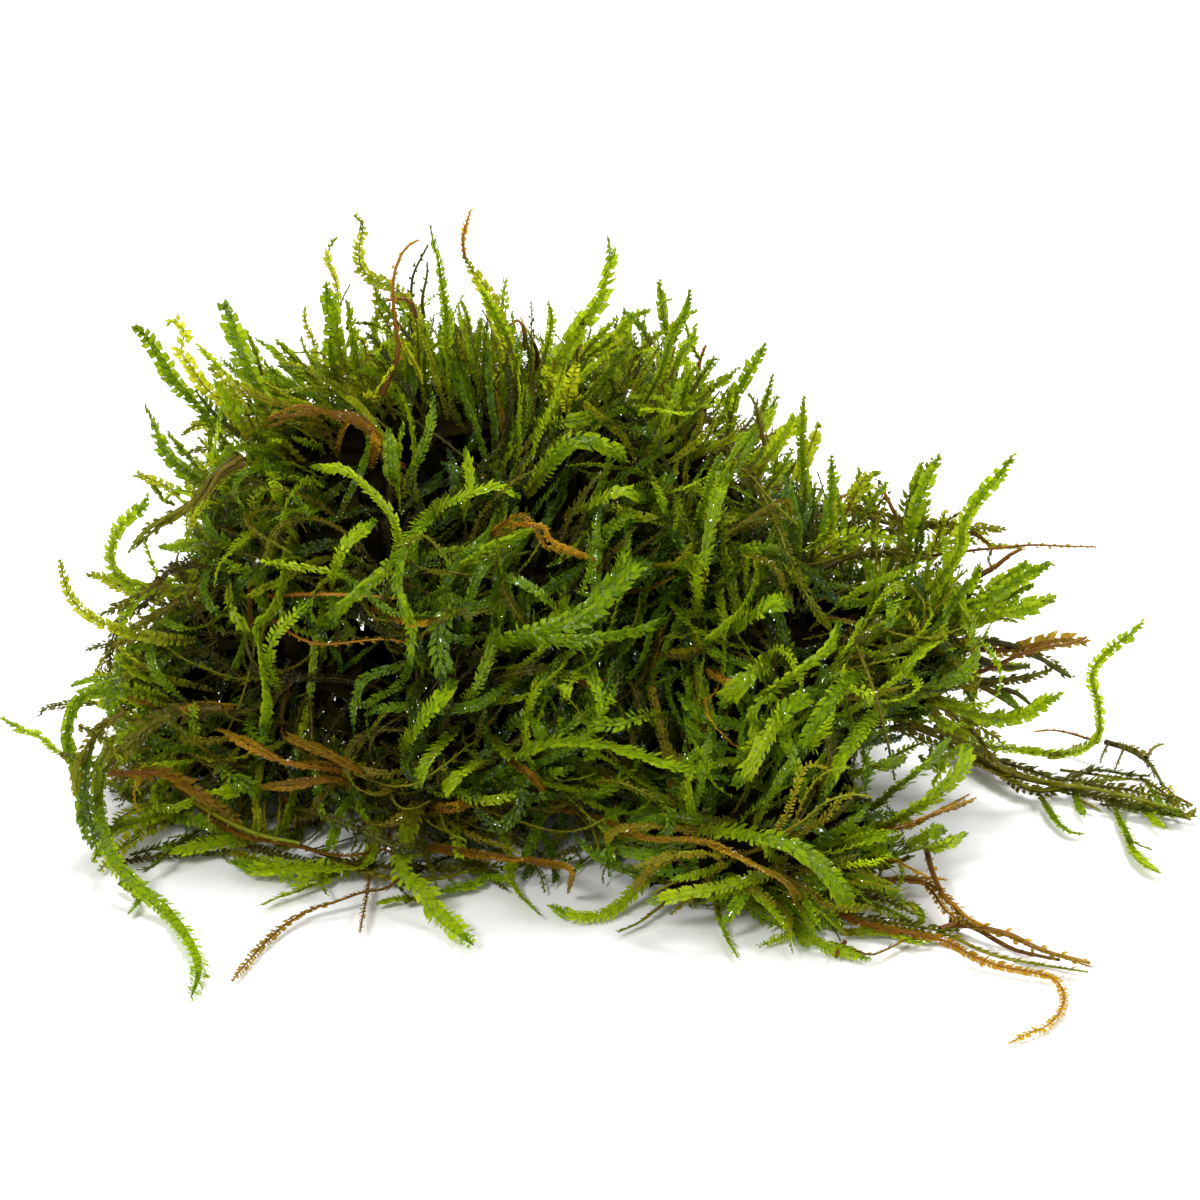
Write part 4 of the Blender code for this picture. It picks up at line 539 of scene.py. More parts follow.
# %% Strands on the table, by the arm on the right and round the foot: kind, width, height and route
STRANDS = [
    # the arm on the right
    ("olive", 1.2, 2.5, [(34.5, -12), (37, -13.8), (39.4, -14.8), (42, -15), (44, -15.4), (46, -15.5),
     (48, -14.8), (50, -14.1)]),
    ("rust", 1, 2.5, [(50, -14.1), (48.5, -13.8), (47, -13.3), (45, -13), (43.4, -13.2)]),
    ("bare", 0.7, 3, [(54.6, -15.8), (55.4, -14.7), (56.4, -14.4)]),
    ("olive", 0.8, 2.5, [(50.8, -14.4), (50.2, -15.6), (50, -16.3)]),
    ("olive", 0.8, 2.5, [(52.4, -14.8), (51.8, -16.2), (51.4, -17.2)]),
    ("olive", 1.5, 2, [(33.5, -12.6), (36, -14.2), (39, -15.8), (43, -17), (46, -18), (48, -17.3), (50, -17),
     (53, -17.5), (55, -17.6)]),
    ("olive", 1.6, 1.6, [(34, -14.2), (36.5, -15.4), (38.6, -16.6), (41, -18), (44, -19), (47, -18.5),
     (50, -18), (53, -17.9)]),
    ("olive", 1.5, 1.2, [(35, -13.4), (37.5, -14.8), (39.6, -16.8), (43, -19), (47, -19), (50, -19.7),
     (53, -20.6), (56, -21.2), (59, -21.9)]),
    ("bare", 0.9, 2, [(36, -14.4), (38.4, -16), (41, -17.4), (45, -18.4), (49, -18.8), (54, -20),
     (58, -21)]),
    ("olive", 1.1, 1.6, [(54, -17.8), (56, -19), (57.5, -20.3), (58.5, -21.5), (59.6, -20.9)]),
    ("fresh", 1, 1.6, [(54.5, -18), (55.5, -19.5), (56.5, -20.8), (58, -21.5)]),
    ("pale", 1.2, 1.8, [(56, -18.4), (57, -19), (57.8, -20.2)]),
    ("fresh", 1.3, 1, [(51, -20), (51.8, -21.5), (52.5, -23), (53.3, -24.2), (55.2, -25)]),
    ("fresh", 1.2, 1, [(52.5, -23.2), (53, -25), (54, -26.2), (55, -26.8), (56, -27.3)]),
    ("fresh", 0.9, 0.8, [(44, -19.7), (45, -21), (46, -22.5), (47, -23.2), (48.3, -23.4)]),
    ("fresh", 1.2, 1, [(47.5, -19), (47.8, -20.5), (48.5, -21.5)]),
    ("olive", 0.9, 1, [(48, -20), (49.2, -20.6), (50, -21.1)]),
    ("fresh", 1.3, 1.2, [(54.5, -20), (55, -21.5), (56, -22.5), (56.7, -22.8)]),
    ("pale", 1.5, 1.6, [(51, -19.8), (52.3, -19.6), (53.6, -19.7)]),
    ("pale", 1.3, 1.6, [(54, -18.4), (54.4, -19.4), (54.2, -20.4)]),
    ("dry", 0.6, 1.2, [(57.5, -19.7), (59.3, -20.5)]),
    # the strands that leave the foot on the right
    ("rust", 1.1, 2, [(22, -26.5), (26, -28), (30, -28), (32, -27.8), (34.6, -28)]),
    ("dry", 1, 2.5, [(32.5, -24), (33.2, -27), (34.4, -29.6), (35.5, -30.6), (36.8, -31.8), (38.5, -32.6)]),
    ("rust", 1, 2, [(32, -28), (33.5, -29.5), (34.5, -31), (36, -32), (37.5, -32.5)]),
    ("dry", 1.1, 1.4, [(34, -33), (35.5, -32.5), (37, -32.5), (39, -33), (41, -33.5), (43, -34.5),
     (45, -35.3), (47, -35.8), (49, -36.3)]),
    ("dry", 0.9, 1, [(35, -32), (37.5, -32.8), (39.5, -34), (41.5, -35), (44, -35.6), (46, -36)]),
    ("olive", 1.3, 0.9, [(26, -32.5), (30, -33), (33, -33.5), (35.5, -33.8), (37.5, -34.8), (40, -35.7),
     (43, -36.3), (46, -36.8), (48.8, -37.2)]),
    ("olive", 1.3, 1.4, [(22, -31), (27, -32), (31, -32.5), (33.5, -33), (36, -33)]),
    ("rust", 0.9, 1, [(23, -34.2), (25, -34.8), (27, -35.5), (29, -34.8), (30.5, -34), (32, -33.5)]),
    ("fresh", 1.1, 1.2, [(30, -30.5), (31.5, -30.5), (32.2, -31.8), (31.6, -32.8)]),
    ("fresh", 1.2, 0.9, [(30.5, -33.6), (32, -34.3), (33.4, -33.7)]),
    ("dry", 0.7, 0.8, [(24.5, -34.2), (23.8, -35), (23.6, -35.7)]),
    ("fresh", 1.2, 1, [(24, -33.3), (28, -33), (30, -33.6), (31.4, -34.4)]),
    # the foot on the left
    ("fresh", 1.6, 2, [(-33, -23.6), (-36, -24), (-39, -24.4), (-42, -25), (-43.8, -24.8)]),
    ("fresh", 1.8, 1.5, [(-26, -25.6), (-30, -26.5), (-33, -26.8), (-35.5, -26.8), (-37, -26)]),
    ("fresh", 1.7, 1, [(-26, -27.4), (-30, -29), (-32, -29.7), (-33.8, -30.5)]),
    ("loose", 1.6, 1.4, [(-22, -25), (-26, -27), (-29, -28), (-32, -27.8)]),
    ("fresh", 1.5, 1.4, [(-27, -26), (-28, -28), (-27.4, -29.4)]),
    ("fresh", 1.6, 2, [(-44, -21), (-46, -23.5), (-47.5, -24.5), (-49.5, -25.4)]),
    ("loose", 1.5, 2, [(-40, -23), (-43, -25), (-44.6, -26.6), (-46, -27)]),
    ("fresh", 1.5, 0.9, [(-19.5, -30.3), (-16, -29.2), (-13.5, -28.7), (-11.3, -27.9)]),
    ("fresh", 1.2, 0.9, [(-18, -30), (-20, -29.8), (-22.4, -30.4)]),
    ("rust", 0.8, 1.2, [(-22.6, -25), (-23, -27.5), (-23.4, -30), (-23.8, -32), (-24, -33.2)]),
    ("olive", 1.6, 1.6, [(-27, -26), (-22, -27.6), (-18, -28), (-14, -27.4), (-11, -26.2)]),
    ("olive", 1.3, 1.8, [(-30, -24.6), (-24, -26.4), (-18, -26.6), (-12, -26.8), (-7, -26.4)]),
    ("rust", 1.1, 3, [(-40, -21), (-36, -23.5), (-31, -24.5), (-26, -25.6), (-22, -25), (-18, -24.4),
     (-13, -25), (-8, -26.2)]),
    ("fresh", 1.2, 1, [(-48, -28.2), (-46.2, -29.4), (-46.2, -30.3), (-47.2, -31.4)]),
    ("loose", 1.4, 1.2, [(-12, -25), (-16, -26), (-20, -28.4), (-19, -29.8)]),
    ("fresh", 1.3, 1.2, [(-14, -25.5), (-12, -27), (-9, -28.2)]),
    ("olive", 1.2, 1.5, [(47, -18), (50, -18.6), (53, -19), (56, -19.8), (59, -20.6)]),
    ("loose", 1.1, 1.2, [(50, -20.4), (53.5, -20.9), (57, -21.6), (59.6, -21.2)]),
    ("bare", 0.9, 2.5, [(50.5, -14.2), (53, -15), (55, -16.4), (56.2, -18.4)]),
    ("olive", 1, 1.5, [(46, -17), (49, -17.4), (52, -17.8), (55, -18)]),
    ("loose", 1.3, 1, [(-47, -25.5), (-43.5, -24.6), (-40, -23.8), (-36.5, -23.6)]),
    ("olive", 1.1, 0.8, [(-48.5, -26.3), (-44, -25.6), (-40, -25.2), (-35, -25.4)]),
    ("olive", 1, 0.8, [(-37, -24.2), (-33, -25.2), (-30, -26), (-26, -26.4)]),
    ("tip", 1.6, 3, [(-41, -20), (-45.1, -21.8), (-48.6, -22.9), (-50.8, -26.2)]),
    ("pale", 1.4, 4, [(-40, -19), (-44, -20.2), (-47.3, -21.3), (-49, -22.9)]),
    ("tip", 1.5, 2.5, [(-48.1, -19.1), (-43.2, -21.3), (-38.9, -22.4), (-35, -24)]),
    ("tip", 1.5, 1.5, [(-43.5, -24.6), (-38.9, -24), (-35, -23.5), (-31, -23.4)]),
    ("tip", 1.4, 1.5, [(-37, -25.2), (-33.5, -26.2), (-29.7, -26.6), (-26, -26.2)]),
    ("tip", 1.8, 5, [(24.5, -25.6), (27.5, -25), (30.4, -24.4), (34.5, -23.2)]),
    ("loose", 1.5, 4, [(25, -26.6), (28.8, -25.8), (32, -24.9), (36.3, -23.5)]),
    ("rust", 1.4, 5.5, [(22, -24.4), (25.5, -24.9), (28.8, -25.8), (32.6, -27.6)]),
    ("tip", 1.5, 6, [(23.5, -24.6), (26, -23.6), (28, -22.6), (30.5, -21.8)]),
    ("tip", 1.4, 5, [(23.5, -26.6), (26, -25.8), (28, -25), (30.2, -23.4)]),
    ("olive", 1.3, 3, [(23.5, -27.6), (26.5, -27), (28.8, -26.4), (31.2, -25.6)]),
    ("pale", 1.3, 2, [(23.5, -28.6), (27, -29), (30.5, -30.2), (32.2, -32)]),
    ("tip", 1.3, 3, [(23.5, -28), (27, -28.4), (29.6, -27.8)]),
    ("loose", 1.2, 1.5, [(25, -30), (28.5, -30.8), (31.4, -32.4)]),
    ("olive", 1.2, 2.5, [(24, -29.4), (28, -29.8), (31.5, -31.4)]),
]
print(len(STRANDS), "loose strands")

# %% [markdown]
# ## The cushion's skin
# Shoots on the cushion follow its surface. Its solid has short shoots of its own, so a copy of it is melted
# with a coarse remesh and smoothed, and a search tree then answers two questions: which point of the skin
# is nearest, and where a sight line meets it.

# %% Melt the cushion's solid into a smooth skin
SKIN_VOXEL = 2.2
SKIN_SMOOTHINGS = 12
TOUCHING = 1e-6


def merged(mesh):
    """A bmesh of a solid's mesh, whose loose triangles are joined."""
    bm = bmesh.new()
    bm.from_mesh(mesh)
    bmesh.ops.remove_doubles(bm, verts=bm.verts, dist=TOUCHING)
    return bm


def melted(node):
    """The corners, in millimetres, and faces of a smoothed copy of a solid."""
    copy = placed("melted", node.data.copy())
    bm = merged(copy.data)
    bm.to_mesh(copy.data)
    bm.free()
    melt = copy.modifiers.new("melt", "REMESH")
    melt.mode = "VOXEL"
    melt.voxel_size = SKIN_VOXEL * MM
    calm = copy.modifiers.new("calm", "SMOOTH")
    calm.iterations = SKIN_SMOOTHINGS
    result = copy.evaluated_get(bpy.context.evaluated_depsgraph_get()).to_mesh()
    corners = [vert.co / MM for vert in result.vertices]
    faces = [face.vertices[:] for face in result.polygons]
    bpy.data.objects.remove(copy)
    return corners, faces


skin_corners, skin_faces = melted(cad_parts["tangled_mat"])
skin = BVHTree.FromPolygons(skin_corners, skin_faces)
print("the skin has", len(skin_faces), "faces")


# %% Ask the skin
def height_over_skin(point):
    """How far the point is outside the skin, below zero inside it, and the skin's direction there."""
    nearest, normal, _, _ = skin.find_nearest(point)
    return (point - nearest).dot(normal), normal


def on_skin(across, up, lift):
    """Where a sight line meets the skin, lifted towards the eye."""
    line = sight_line(across, up).normalized()
    hit, _, _, _ = skin.ray_cast(EYE, line)
    if hit is None:
        near = EYE + line * SIGHT_DISTANCE
        hit = EYE + line * (skin.find_nearest(near)[0] - EYE).dot(line)
    return hit - line * lift


# %% [markdown]
# ## A route and its frames
# Every shoot is built along a smooth curve through its points. At each step of the curve a small frame of
# three directions says where the leaves go: ahead along the stem, to the side, and up from the ribbon's
# flat face. The face slowly twists along the way, as a real ribbon's does.

# %% Follow a route
STEP = 0.4
LEAST_STEPS = 6
QUARTERS = (0.25, 0.5, 0.75, 1.0)
LEAST_LENGTH = 1e-9


def smooth_route(points):
    """Evenly spaced points on one smooth curve through all the given ones, as an array."""
    points = [np.array(point) for point in points]
    padded = [2 * points[0] - points[1], *points, 2 * points[-1] - points[-2]]
    dense = [points[0]]
    for before, start, end, after in zip(padded, padded[1:], padded[2:], padded[3:]):
        for t in QUARTERS:
            pull = (end - before) * t + (2 * before - 5 * start + 4 * end - after) * t**2
            pull += (3 * start - before - 3 * end + after) * t**3
            dense.append(start + pull / 2)
    dense = np.array(dense)
    run = np.concatenate([[0], np.cumsum(np.linalg.norm(np.diff(dense, axis=0), axis=1))])
    wanted = np.linspace(0, run[-1], max(LEAST_STEPS, round(run[-1] / STEP)))
    return np.stack([np.interp(wanted, run, dense[:, k]) for k in range(3)], axis=1)


def unit(rows):
    return rows / np.maximum(np.linalg.norm(rows, axis=-1, keepdims=True), LEAST_LENGTH)


def frames_along(route, facing, twist):
    """The route's frames: ahead, side and face at each point, turned round the stem by twist, in radians."""
    ahead = unit(np.gradient(route, axis=0))
    side = unit(np.cross(ahead, facing))
    face = np.cross(side, ahead)
    turn_side = side * np.cos(twist)[:, None] + face * np.sin(twist)[:, None]
    return ahead, turn_side, np.cross(turn_side, ahead)


# %% [markdown]
# ## A leaf
# A moss leaf is a pointed scale about a millimetre long and only one cell thick, folded a little along its
# middle. It starts as a grid two faces wide. Each row is drawn in to the leaf's width there, the two ends
# close to a point, and the middle line is raised. Thousands of copies are needed, so the near ones have
# eight triangles and the deep ones two. A mesh sheet with no thickness is right here, because the real leaf
# has next to none.

# %% Make the leaves
FOLD = 0.14
TIP_CURL = 0.20
CLOSED = 1e-4
NEAR_WIDTHS, NEAR_PLACES = (0, 0.52, 0.32, 0), (0, 0.30, 0.66, 1)
DEEP_WIDTH, DEEP_WIDEST = 0.60, 0.40


def arrays_of(bm):
    """The mesh as arrays: corners, the corner numbers of its faces in a row, and how many each face has."""
    bm.verts.index_update()
    corners = np.array([vert.co[:] for vert in bm.verts])
    order = np.array([vert.index for face in bm.faces for vert in face.verts])
    sizes = np.array([len(face.verts) for face in bm.faces])
    bm.free()
    return SimpleNamespace(corners=corners, order=order, sizes=sizes)


def leaf_shape(widths, places):
    """A leaf one unit long, with its width at each row and the row's place along it."""
    rows = len(widths)
    bm = bmesh.new()
    bmesh.ops.create_grid(bm, x_segments=2, y_segments=rows - 1, size=0.5)
    for vert in bm.verts:
        row = round((vert.co.y + 0.5) * (rows - 1))
        along = places[row]
        raised = FOLD * (1 - 2 * abs(vert.co.x)) * min(1, 4 * along * (1 - along))
        vert.co = (vert.co.x * widths[row], along, raised + TIP_CURL * along**3)
    bmesh.ops.remove_doubles(bm, verts=bm.verts, dist=CLOSED)
    return arrays_of(bm)


def small_leaf_shape(width, widest):
    """The same leaf with two faces, for the thousands in the cushion: a diamond folded along its middle."""
    bm = bmesh.new()
    bmesh.ops.create_circle(bm, segments=4, radius=1, cap_ends=True)
    ends = [vert for vert in bm.verts if abs(vert.co.x) < 0.5]
    bmesh.ops.connect_verts(bm, verts=ends)
    for vert in bm.verts:
        along = widest if abs(vert.co.x) > 0.5 else (vert.co.y + 1) / 2
        vert.co = (vert.co.x * width / 2, along, TIP_CURL * along**3 - FOLD * abs(vert.co.x))
    return arrays_of(bm)


NEAR_LEAF = leaf_shape(NEAR_WIDTHS, NEAR_PLACES)
DEEP_LEAF = small_leaf_shape(DEEP_WIDTH, DEEP_WIDEST)
print("leaf triangles:", *(len(leaf.order) - 2 * len(leaf.sizes) for leaf in (NEAR_LEAF, DEEP_LEAF)))


# %% Make one link of a stem
NEAR_SIDES, DEEP_SIDES = 5, 3


def stem_link(sides):
    """A tube one unit long, open at both ends. Links are joined end to end along a route."""
    bm = bmesh.new()
    bmesh.ops.create_cone(bm, segments=sides, radius1=1, radius2=1, depth=1, cap_ends=False)
    bmesh.ops.translate(bm, vec=(0, 0, 0.5), verts=bm.verts)
    return arrays_of(bm)


NEAR_LINK = stem_link(NEAR_SIDES)
DEEP_LINK = stem_link(DEEP_SIDES)

# %% Make one link of a flat band, folded along its middle
bm = bmesh.new()
bmesh.ops.create_grid(bm, x_segments=2, y_segments=1, size=0.5)
bmesh.ops.translate(bm, vec=(0, 0.5, 0), verts=bm.verts)
BAND_LINK = arrays_of(bm)
print("link faces:", *(len(link.sizes) for link in (NEAR_LINK, DEEP_LINK, BAND_LINK)))

# %% [markdown]
# ## The colour chart
# A leaf's look depends on two things: how old its part of the shoot is, and the tone of the whole shoot. So
# all leaves share one chart, a square of 8 by 8 little leaf pictures. Left to right is the age, from the
# shoot's foot to its tip. Bottom to top is the tone, from dull to bright. In the tangle the tone also holds
# painted shade and painted light. Each leaf's UV map lies on one picture, with its length along U and half
# its width along V.

# %% Chart
AGES = TONES = 8
LAST = 0.01
INSET = 0.04


def chart_place(column, row, along, across):
    """UV of points of a leaf: which picture, and where in it."""
    u = (np.clip(column, 0, AGES - 1) + INSET + (1 - 2 * INSET) * along) / AGES
    v = (np.clip(row, 0, TONES - 1) + INSET + (1 - 2 * INSET) * across) / TONES
    return np.stack(np.broadcast_arrays(u, v), axis=-1)


def age_column(share):
    """The column of the chart for places along a shoot, from 0 at its foot to 1 at its tip."""
    return np.floor(share * (AGES - LAST))[:, None]


# %% [markdown]
# ## From copies to one mesh
# An Array modifier would repeat a leaf in a straight line. Here each copy needs its own place and turn, so
# the copies are worked out as arrays of corners and joined into one mesh for each piece.

# %% Growth: gathers copies and joins them
class Growth:
    """The copies that make one piece."""

    def __init__(self):
        self.corners, self.orders, self.sizes, self.uvs, self.finishes = [], [], [], [], []
        self.count = 0

    def add(self, shape, corners, uv, finish):
        """corners and uv hold one row of points for each copy of the shape."""
        copies, points = corners.shape[:2]
        starts = self.count + points * np.arange(copies)
        self.corners.append(corners.reshape(-1, 3))
        self.orders.append((shape.order + starts[:, None]).ravel())
        self.sizes.append(np.tile(shape.sizes, copies))
        self.uvs.append(uv[:, shape.order].reshape(-1, 2))
        self.finishes.append(np.full(copies * len(shape.sizes), finish))
        self.count += copies * points

    def triangles(self):
        return int(sum(size.sum() - 2 * len(size) for size in self.sizes))

    def piece(self, name, finishes):
        """The joined mesh as an object that wears the finishes."""
        corners, order = np.concatenate(self.corners) * MM, np.concatenate(self.orders)
        sizes, uvs = np.concatenate(self.sizes), np.concatenate(self.uvs)
        starts = np.concatenate([[0], np.cumsum(sizes)[:-1]])
        mesh = bpy.data.meshes.new(name)
        mesh.vertices.add(len(corners))
        mesh.vertices.foreach_set("co", corners.astype(np.float32).ravel())
        mesh.loops.add(len(order))
        mesh.loops.foreach_set("vertex_index", order.astype(np.int32))
        mesh.polygons.add(len(sizes))
        mesh.polygons.foreach_set("loop_start", starts.astype(np.int32))
        mesh.polygons.foreach_set("material_index", np.concatenate(self.finishes).astype(np.int32))
        mesh.update(calc_edges=True)
        mesh.uv_layers.new(name="OFBake").uv.foreach_set("vector", uvs.astype(np.float32).ravel())
        mesh.shade_smooth()
        for finish in finishes:
            mesh.materials.append(finish)
        return placed(name, mesh)


# %% [markdown]
# ## Shoots
# A leafy shoot has leaves all round its stem, but they lie pressed to a flat band with a toothed edge.
# Three or four rows of leaves make it. Those near the middle point ahead and lie over the stem like roof
# tiles, and those at the edges spread outwards. A thin folded band under them stands for the leaf bases
# that overlap. Shoot tips that catch the light are looser, like a small feather, and old shoots have only
# stubs of leaves.

# %% Rows of leaves: offset in half-widths, spread, phase, spacing in leaf lengths, lift
BAND = ((-0.8, -30, 0.0, 0.58, 2), (-0.2, -6, 0.5, 0.70, 7), (0.2, 6, 0.1, 0.70, 7), (0.8, 30, 0.5, 0.58, 2))
CUPPED = ((-0.35, -34, 0.0, 0.58, 6), (0, 0, 0.3, 0.66, 15), (0.35, 34, 0.5, 0.58, 6))
FAR_BAND = ((-0.8, -28, 0.0, 0.62, 2), (0, 0, 0.3, 0.70, 10), (0.8, 28, 0.5, 0.62, 2))
LOOSE = ((-0.6, -34, 0.0, 0.62, 4), (0, 0, 0.5, 0.80, 12), (0.6, 34, 0.5, 0.62, 4))
FEATHER = ((-0.3, -39, 0.0, 0.60, 0), (0, -6, 0.5, 0.80, 16), (0.3, 39, 0.45, 0.60, 0))
SPARSE = ((-0.5, -28, 0.0, 0.70, 0), (0, 4, 0.5, 1.0, 12), (0.5, 28, 0.4, 0.70, 0))
NARROW = ((-0.4, -25, 0.0, 0.60, 0), (0, 3, 0.5, 0.90, 8), (0.4, 25, 0.5, 0.60, 0))
STUBS = ((-0.9, -20, 0.0, 2.3, 0), (0.9, 20, 0.6, 2.3, 0), (0, 0, 0.3, 2.6, 16))


# %% Kinds of shoot
def kind(leaves, stem, rows, leaf_share, band_share, stem_share, tones, margin=1.0, broad=1.0):
    """The shares are of the shoot's width: a leaf's length, half the band's width and the stem's radius.
    margin: how far each leaf reaches into the dark edge of its picture, partly the margin's own colour and
    partly painted shade where leaves overlap. broad: how wide the leaves are."""
    return SimpleNamespace(
        leaves=leaves, stem=stem, rows=rows, leaf_share=leaf_share, band_share=band_share,
        stem_share=stem_share, tones=tones, margin=margin, broad=broad)


LEAVES, PALE_LEAVES, OLD_LEAVES, DRY_LEAVES, OLIVE_STEM, RUST_STEM, SHADE_FILM = range(7)
KINDS = {
    "fresh": kind(LEAVES, OLIVE_STEM, BAND, 0.54, 0.29, 0.08, (4.2, 7.2), 0.66),
    "tip": kind(LEAVES, OLIVE_STEM, CUPPED, 0.60, 0.18, 0.07, (4, 7.9), 1.0, 1.45),
    "green": kind(LEAVES, OLIVE_STEM, FAR_BAND, 0.60, 0.27, 0.08, (3, 7.9), 0.75),
    "pale": kind(PALE_LEAVES, OLIVE_STEM, FEATHER, 0.64, 0, 0.08, (2, 7.9), 1.0, 1.4),
    "loose": kind(LEAVES, OLIVE_STEM, LOOSE, 0.66, 0.16, 0.10, (0.5, 7.5)),
    "olive": kind(OLD_LEAVES, OLIVE_STEM, SPARSE, 0.66, 0, 0.17, (1, 7)),
    "rust": kind(DRY_LEAVES, RUST_STEM, NARROW, 0.72, 0.12, 0.15, (2, 7.9)),
    "bare": kind(OLD_LEAVES, OLIVE_STEM, STUBS, 0.8, 0, 0.34, (0, 6)),
    "dry": kind(DRY_LEAVES, RUST_STEM, STUBS, 0.8, 0, 0.34, (1, 7.9)),
}
print("kinds of shoot:", *KINDS)

# %% Leaves along a shoot
LEAF_LEAST, LEAF_MOST = 0.55, 1.7
HALF_SHARE = 0.29
TIP_STRETCH, BASE_STRETCH = 2.6, 3.0
TIP_SIZE, BASE_SIZE = 0.5, 0.65
TIP_SPREAD = 0.35
LIFT, ROLL = 0.05, 0.35
SIZES, WIDTHS, CURLS = (0.8, 1.15), (0.85, 1.15), (-0.3, 1.4)
STRAY = SimpleNamespace(along=0.08, spread=0.10, lift=0.11, foot=0.1, roll=0.19, tone=0.6)


def between(low, high, share):
    return low + (high - low) * share


def rotated(first, second, angle):
    """Two directions at right angles turned in their plane."""
    return first * np.cos(angle) + second * np.sin(angle), second * np.cos(angle) - first * np.sin(angle)


def add_leaves(growth, look, shape, route, frames, width, tone, rng):
    """Rows of leaves along a route, smaller at both ends and closed up at the tip. Each strays a little."""
    ahead, side, face = frames
    length = STEP * (len(route) - 1)
    size = float(np.clip(width * look.leaf_share, LEAF_LEAST, LEAF_MOST))
    rows = []
    for offset, spread, phase, spacing, lift in look.rows:
        stations = np.arange(phase * spacing * size, length, spacing * size)
        rows.append(np.stack(np.broadcast_arrays(stations, offset, radians(spread), radians(lift)), axis=1))
    stations, offsets, spreads, lifts = np.concatenate(rows).T
    count = len(stations)
    stations = np.clip(stations + rng.normal(0, STRAY.along * size, count), 0, length)
    to_tip = np.clip((length - stations) / TIP_STRETCH, 0, 1)
    shrink = between(BASE_SIZE, 1, np.clip(stations / BASE_STRETCH, 0, 1)) * between(TIP_SIZE, 1, to_tip)
    spreads = spreads * between(TIP_SPREAD, 1, to_tip) + rng.normal(0, STRAY.spread, count)
    lifts = lifts + rng.normal(LIFT, STRAY.lift, count)
    at = stations / STEP
    low = np.clip(at.astype(int), 0, len(route) - 2)
    ahead, side, face = ahead[low], side[low], face[low]
    foot = route[low] + (route[low + 1] - route[low]) * (at - low)[:, None]
    off_face = rng.uniform(-STRAY.foot, STRAY.foot, count)[:, None]
    foot += side * (offsets * HALF_SHARE * width * shrink)[:, None] + face * off_face
    grows, out = rotated(ahead, side, spreads[:, None])
    grows, up = rotated(grows, face, lifts[:, None])
    out, up = rotated(out, up, (rng.normal(0, STRAY.roll, count) - ROLL * offsets)[:, None])
    size = (size * shrink * rng.uniform(*SIZES, count))[:, None, None]
    x, y, z = (shape.corners[:, k][None, :, None] for k in range(3))
    wide = look.broad * rng.uniform(*WIDTHS, count)[:, None, None]
    curl = rng.uniform(*CURLS, count)[:, None, None]
    corners = foot[:, None] + size * (x * wide * out[:, None] + y * grows[:, None] + z * curl * up[:, None])
    row = np.floor(np.clip(tone + rng.normal(0, STRAY.tone, count), 0, TONES - LAST))[:, None]
    half = np.abs(shape.corners[:, 0]).max()
    along = 0.5 + (shape.corners[:, 1] - 0.5) * look.margin
    across = np.abs(shape.corners[:, 0]) / half * look.margin
    growth.add(shape, corners, chart_place(age_column(stations / length), row, along, across), look.leaves)


# %% Stem and band of a shoot
LINK_STEPS, BAND_STEPS = 2, 3
STEM_TAPER, STEM_LEAST = 0.45, 0.08
BAND_FOLD = 0.12
BAND_TIP, BAND_TAPER = 0.1, 5
MORE_INWARDS = 3


def link_ends(route, frames, steps, along):
    """Where the links of a shoot meet, with the frames there, how much of the shoot is left at each, and
    which of these ends each corner of each link is at."""
    ends = np.append(np.arange(0, len(route) - 1, steps), len(route) - 1)
    left = 1 - np.arange(len(ends)) / (len(ends) - 1)
    at_end = np.arange(len(ends) - 1)[:, None] + np.round(along).astype(int)
    return route[ends], frames[1][ends], frames[2][ends], left, at_end


def add_stem(growth, look, shape, route, frames, width, tone):
    """A tube along a route, thinner towards the tip."""
    x, y, along = shape.corners.T
    place, side, face, left, at_end = link_ends(route, frames, LINK_STEPS, along)
    radius = np.maximum(width * look.stem_share * between(STEM_TAPER, 1, left), STEM_LEAST)
    around = side[at_end] * x[None, :, None] + face[at_end] * y[None, :, None]
    corners = place[at_end] + radius[at_end][..., None] * around
    uv = chart_place(age_column(1 - left[:-1]), np.floor(tone), along, 0.5 + 0.5 * x)
    growth.add(shape, corners, uv, look.stem)


def add_band(growth, route, frames, width, ragged, tone, finish, rng):
    """A flat folded strip along a route: the leaf bases that overlap, or a near-black film of painted shade
    deep in the clump.
    """
    x, along, _ = BAND_LINK.corners.T
    place, side, face, left, at_end = link_ends(route, frames, BAND_STEPS, along)
    reach = width * rng.uniform(1 - ragged, 1 + ragged / MORE_INWARDS, (len(place), 2))
    reach *= np.minimum(1, BAND_TAPER * left + BAND_TIP)[:, None]
    reach = np.where(x < 0, reach[at_end][..., 0], reach[at_end][..., 1]) * x
    fold = BAND_FOLD * width * (1 - 2 * np.abs(x))
    corners = place[at_end] + side[at_end] * reach[..., None] + face[at_end] * fold[None, :, None]
    uv = chart_place(age_column(1 - left[:-1]), np.floor(tone), along, 2 * np.abs(x))
    growth.add(BAND_LINK, corners, uv, finish)


# %% A whole shoot
TWIST, TWIST_LENGTH, TWIST_PACES, FIRST_TURN = 0.8, 12, (0.6, 1.6), 0.25
RAGGED = 0.2


